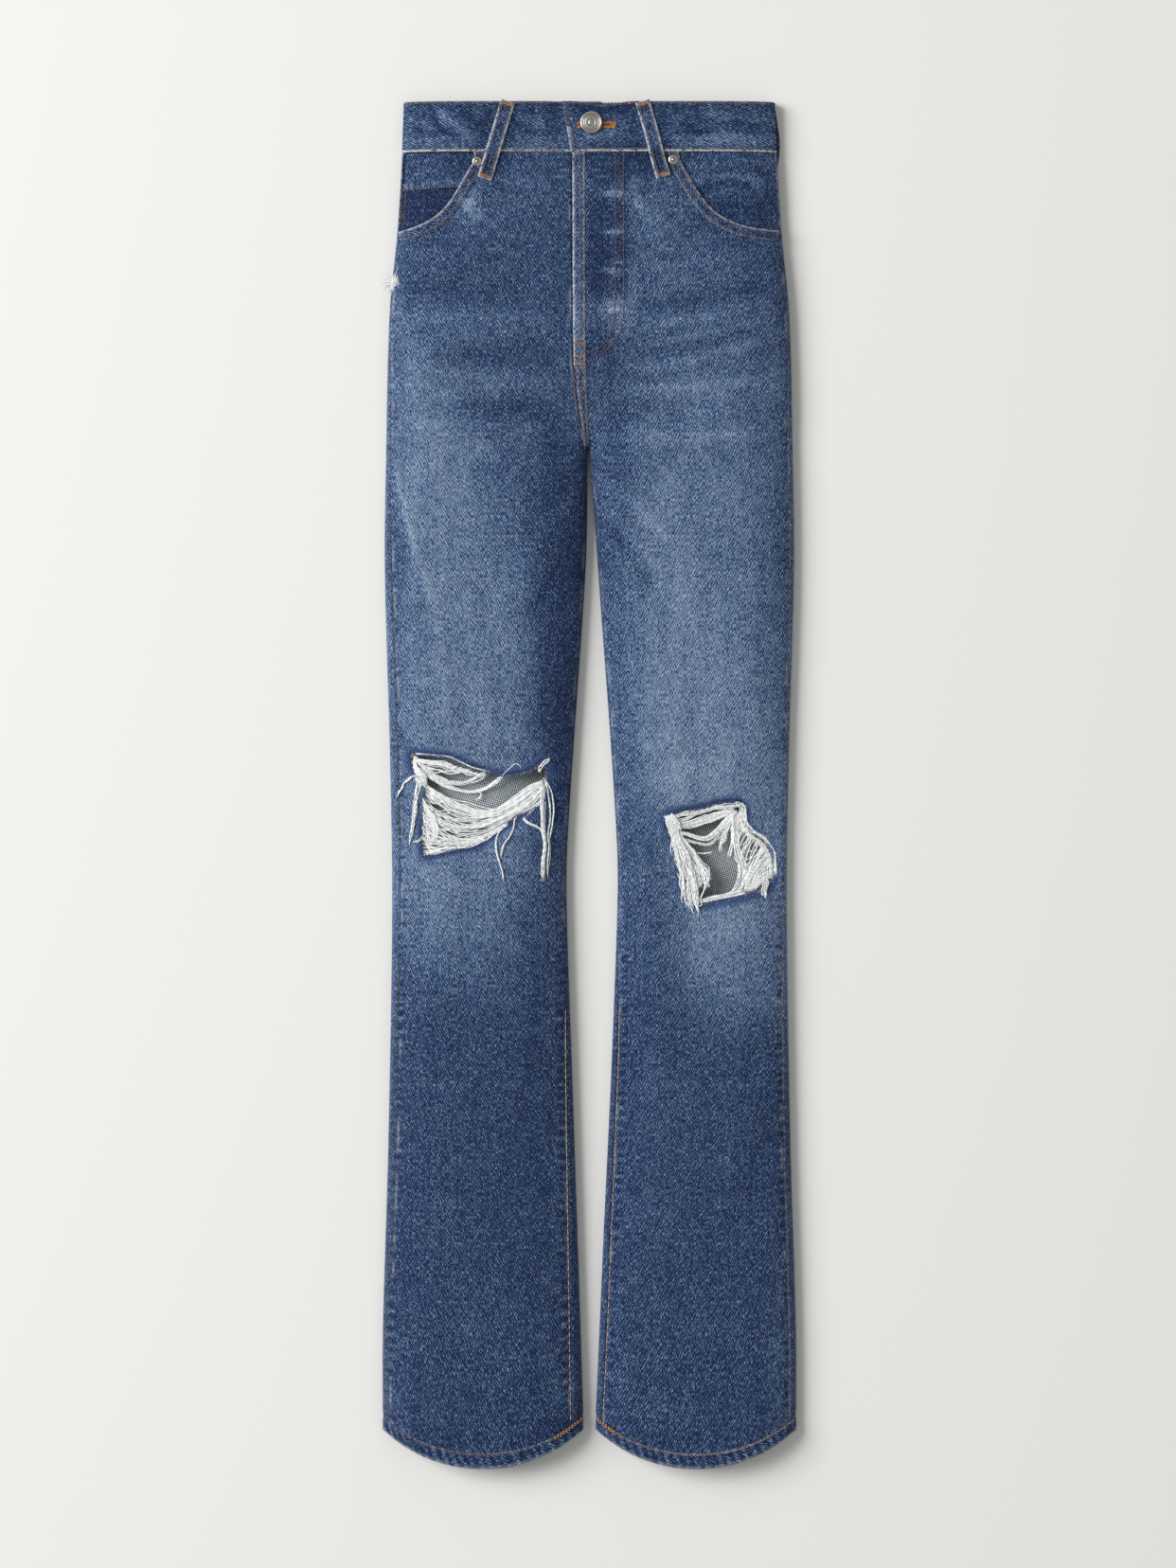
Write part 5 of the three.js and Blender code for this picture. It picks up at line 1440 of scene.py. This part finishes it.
def metal():
    """The shank button and the two rivets, with plain turned rings."""
    r = BUTTON_RADIUS
    places = {name: np.array(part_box(name)) / MM for name in ("button", "rivet_right", "rivet_left")}
    middle = {name: (low + high) / 2 - (0, SHIFT_Y, 0) for name, (low, high) in places.items()}
    foot = {name: low[2] for name, (low, _) in places.items()}
    cap = [(0.01, 3.5, 0), (1.2, 3.48, 0), (2.2, 3.4, 0.1), (2.6, 3.15, 0.9), (3.0, 3.15, 0.9),
           (3.4, 3.42, 0.1), (5.0, 3.34, 0.15), (5.4, 3.1, 0.9), (5.8, 3.1, 0.9), (6.1, 3.35, 0.1),
           (6.7, 3.3, 0.2), (6.9, 2.95, 0.9), (7.3, 3.0, 0.8), (7.6, 3.6, 0.0), (8.0, 3.85, 0),
           (8.6, 3.75, 0), (r - 0.2, 3.3, 0.1), (r, 2.6, 0.2), (r, 1.9, 0.4), (r - 0.6, 1.3, 0.7),
           (r - 2.2, 0.9, 0.9), (3.4, 0.6, 1), (3.2, -0.9, 1), (0.01, -0.9, 1)]
    nub = [(0.01, 2.15, 0), (0.7, 2.1, 0), (1.15, 1.85, 0.1), (1.35, 1.35, 0.8), (1.8, 1.15, 0.9),
           (2.6, 1.35, 0.3), (3.2, 1.3, 0.1), (3.8, 1.0, 0.1), (4.2, 0.55, 0.3), (4.25, 0.2, 0.7),
           (4.0, -0.4, 1), (0.01, -0.4, 1)]
    for name, profile in (("button", cap), ("rivet_right", nub), ("rivet_left", nub)):
        piece = turned(name.replace("_", " ") + " cap", profile[::-1], middle[name][:2], foot[name] + 0.2)
        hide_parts(name)


def fray():
    """The loose yarns: the knees' pulled weft, the fuzz round both openings and the tuft at the torn side."""
    made = [yarn_mesh("pulled yarns right knee", knee_right(), 1),
            yarn_mesh("pulled yarns left knee", knee_left(), 2)]
    for name, side in SIDES:
        ring = np.vstack([RIPS[name], RIPS[name][:1]])
        upper, lower = (ring[:41], ring[52:85]) if side == RIGHT else (ring[:21], ring[52:73])
        rim = [hairs(50 + side, ring, 500, 2.2, 1.6, 0.1),
               hairs(52 + side, upper, 700, 3.4, -1.5, 0.1, 0.6),
               hairs(54 + side, upper, 500, 3.6, 1.5, 0.15, 0.7),
               hairs(56 + side, lower, 400, 2.2, -1.5, 0.1, 0.6),
               hairs(58 + side, lower, 600, 3.4, 1.5, 0.15, 0.7)]
        weft = hairs(60 + side, ring, 620, 3.2, -1.2, 0.0)
        made.append(tubes(f"frayed rim {name}", np.concatenate(rim), 0.22, THREAD_FINISH["navy"], sides=3))
        made.append(tubes(f"frayed weft {name}", weft, 0.2, YARN, sides=3))
    made.append(tubes("frayed tear", tear_tuft(), 0.32, YARN, sides=4))
    return made


def state(cut):
    """What each cut piece replaces: its parts of the frame are hidden."""
    for name, _ in SIDES:
        declare(cut[f"front {name}"], [f"front_{name}"])
        declare(cut[f"back {name}"], [f"back_{name}"])
        declare(cut[f"yoke {name}"], [f"yoke_{name}"])
        declare(cut[f"back pocket {name}"], [f"back_pocket_{name}"])
        declare(cut[f"mouth {name}"])
        declare(cut[f"hem {name}"])
        declare(cut[f"facing {name}"], [f"pocket_facing_{name}"])
        declare(cut[f"loop front {name}"], [f"belt_loop_front_{name}"])
        declare(cut[f"loop back {name}"], [f"belt_loop_back_{name}"])
    declare(cut["loop back centre"], ["belt_loop_back_centre"])
    declare(cut["coin"], ["coin_pocket"])
    declare(cut["band"], ["waistband"])
    declare(cut["fly under"], ["fly_extension"])
    declare(cut["fly fold"])
    declare(cut["crotch seam"])


CUT = build()
put_on_top()
loops_and_buttonhole()
for loose in join_threads() + fray():
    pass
metal()
state(CUT)


# ---- Floor, light and camera, in metres ----
FLOOR_HALF, FLOOR_Z = 4.0, -0.0006


def floor():
    """The pale surface that the jeans lie on."""
    material = bpy.data.materials.new("pale backdrop")
    material.use_nodes = True
    shader = material.node_tree.nodes["Principled BSDF"]
    shader.inputs["Base Color"].default_value = (0.86, 0.855, 0.825, 1)
    shader.inputs["Roughness"].default_value = 1.0
    shader.inputs["Specular IOR Level"].default_value = 0.1
    mesh = bpy.data.meshes.new("backdrop")
    corners = [(a * FLOOR_HALF, b * FLOOR_HALF, 0) for a, b in ((-1, -1), (1, -1), (1, 1), (-1, 1))]
    mesh.from_pydata(corners, [], [(0, 1, 2, 3)])
    mesh.materials.append(material)
    made = bpy.data.objects.new("backdrop", mesh)
    bpy.context.scene.collection.objects.link(made)
    made.location.z = FLOOR_Z


def lamp(name, place, power, size):
    """A square lamp that faces the middle of the garment."""
    light = bpy.data.lights.new(name, "AREA")
    light.shape = "SQUARE"
    light.size, light.energy = size, power
    made = bpy.data.objects.new(name, light)
    bpy.context.scene.collection.objects.link(made)
    made.location = place
    made.rotation_euler = (-Vector(place)).to_track_quat("-Z", "Y").to_euler()


floor()
lamp("window light", (-5.6, 1.8, 4.2), 592, 4.4)
lamp("fill", (1.6, -1.2, 2.6), 4, 2.0)
world = bpy.data.worlds.new("pale room")
world.use_nodes = True
world.node_tree.nodes["Background"].inputs["Color"].default_value = (1.0, 1.0, 0.99, 1)
world.node_tree.nodes["Background"].inputs["Strength"].default_value = 0.34
bpy.context.scene.world = world

lens = bpy.data.cameras.new("camera")
lens.lens, lens.sensor_fit, lens.sensor_height = 100, "VERTICAL", 36
lens.clip_end = 50
camera = bpy.data.objects.new("camera", lens)
camera.location = (-0.0012, (0.8 + SHIFT_Y) * MM, 3.696)
bpy.context.scene.collection.objects.link(camera)
bpy.context.scene.camera = camera
bpy.context.scene.view_settings.view_transform = "Standard"
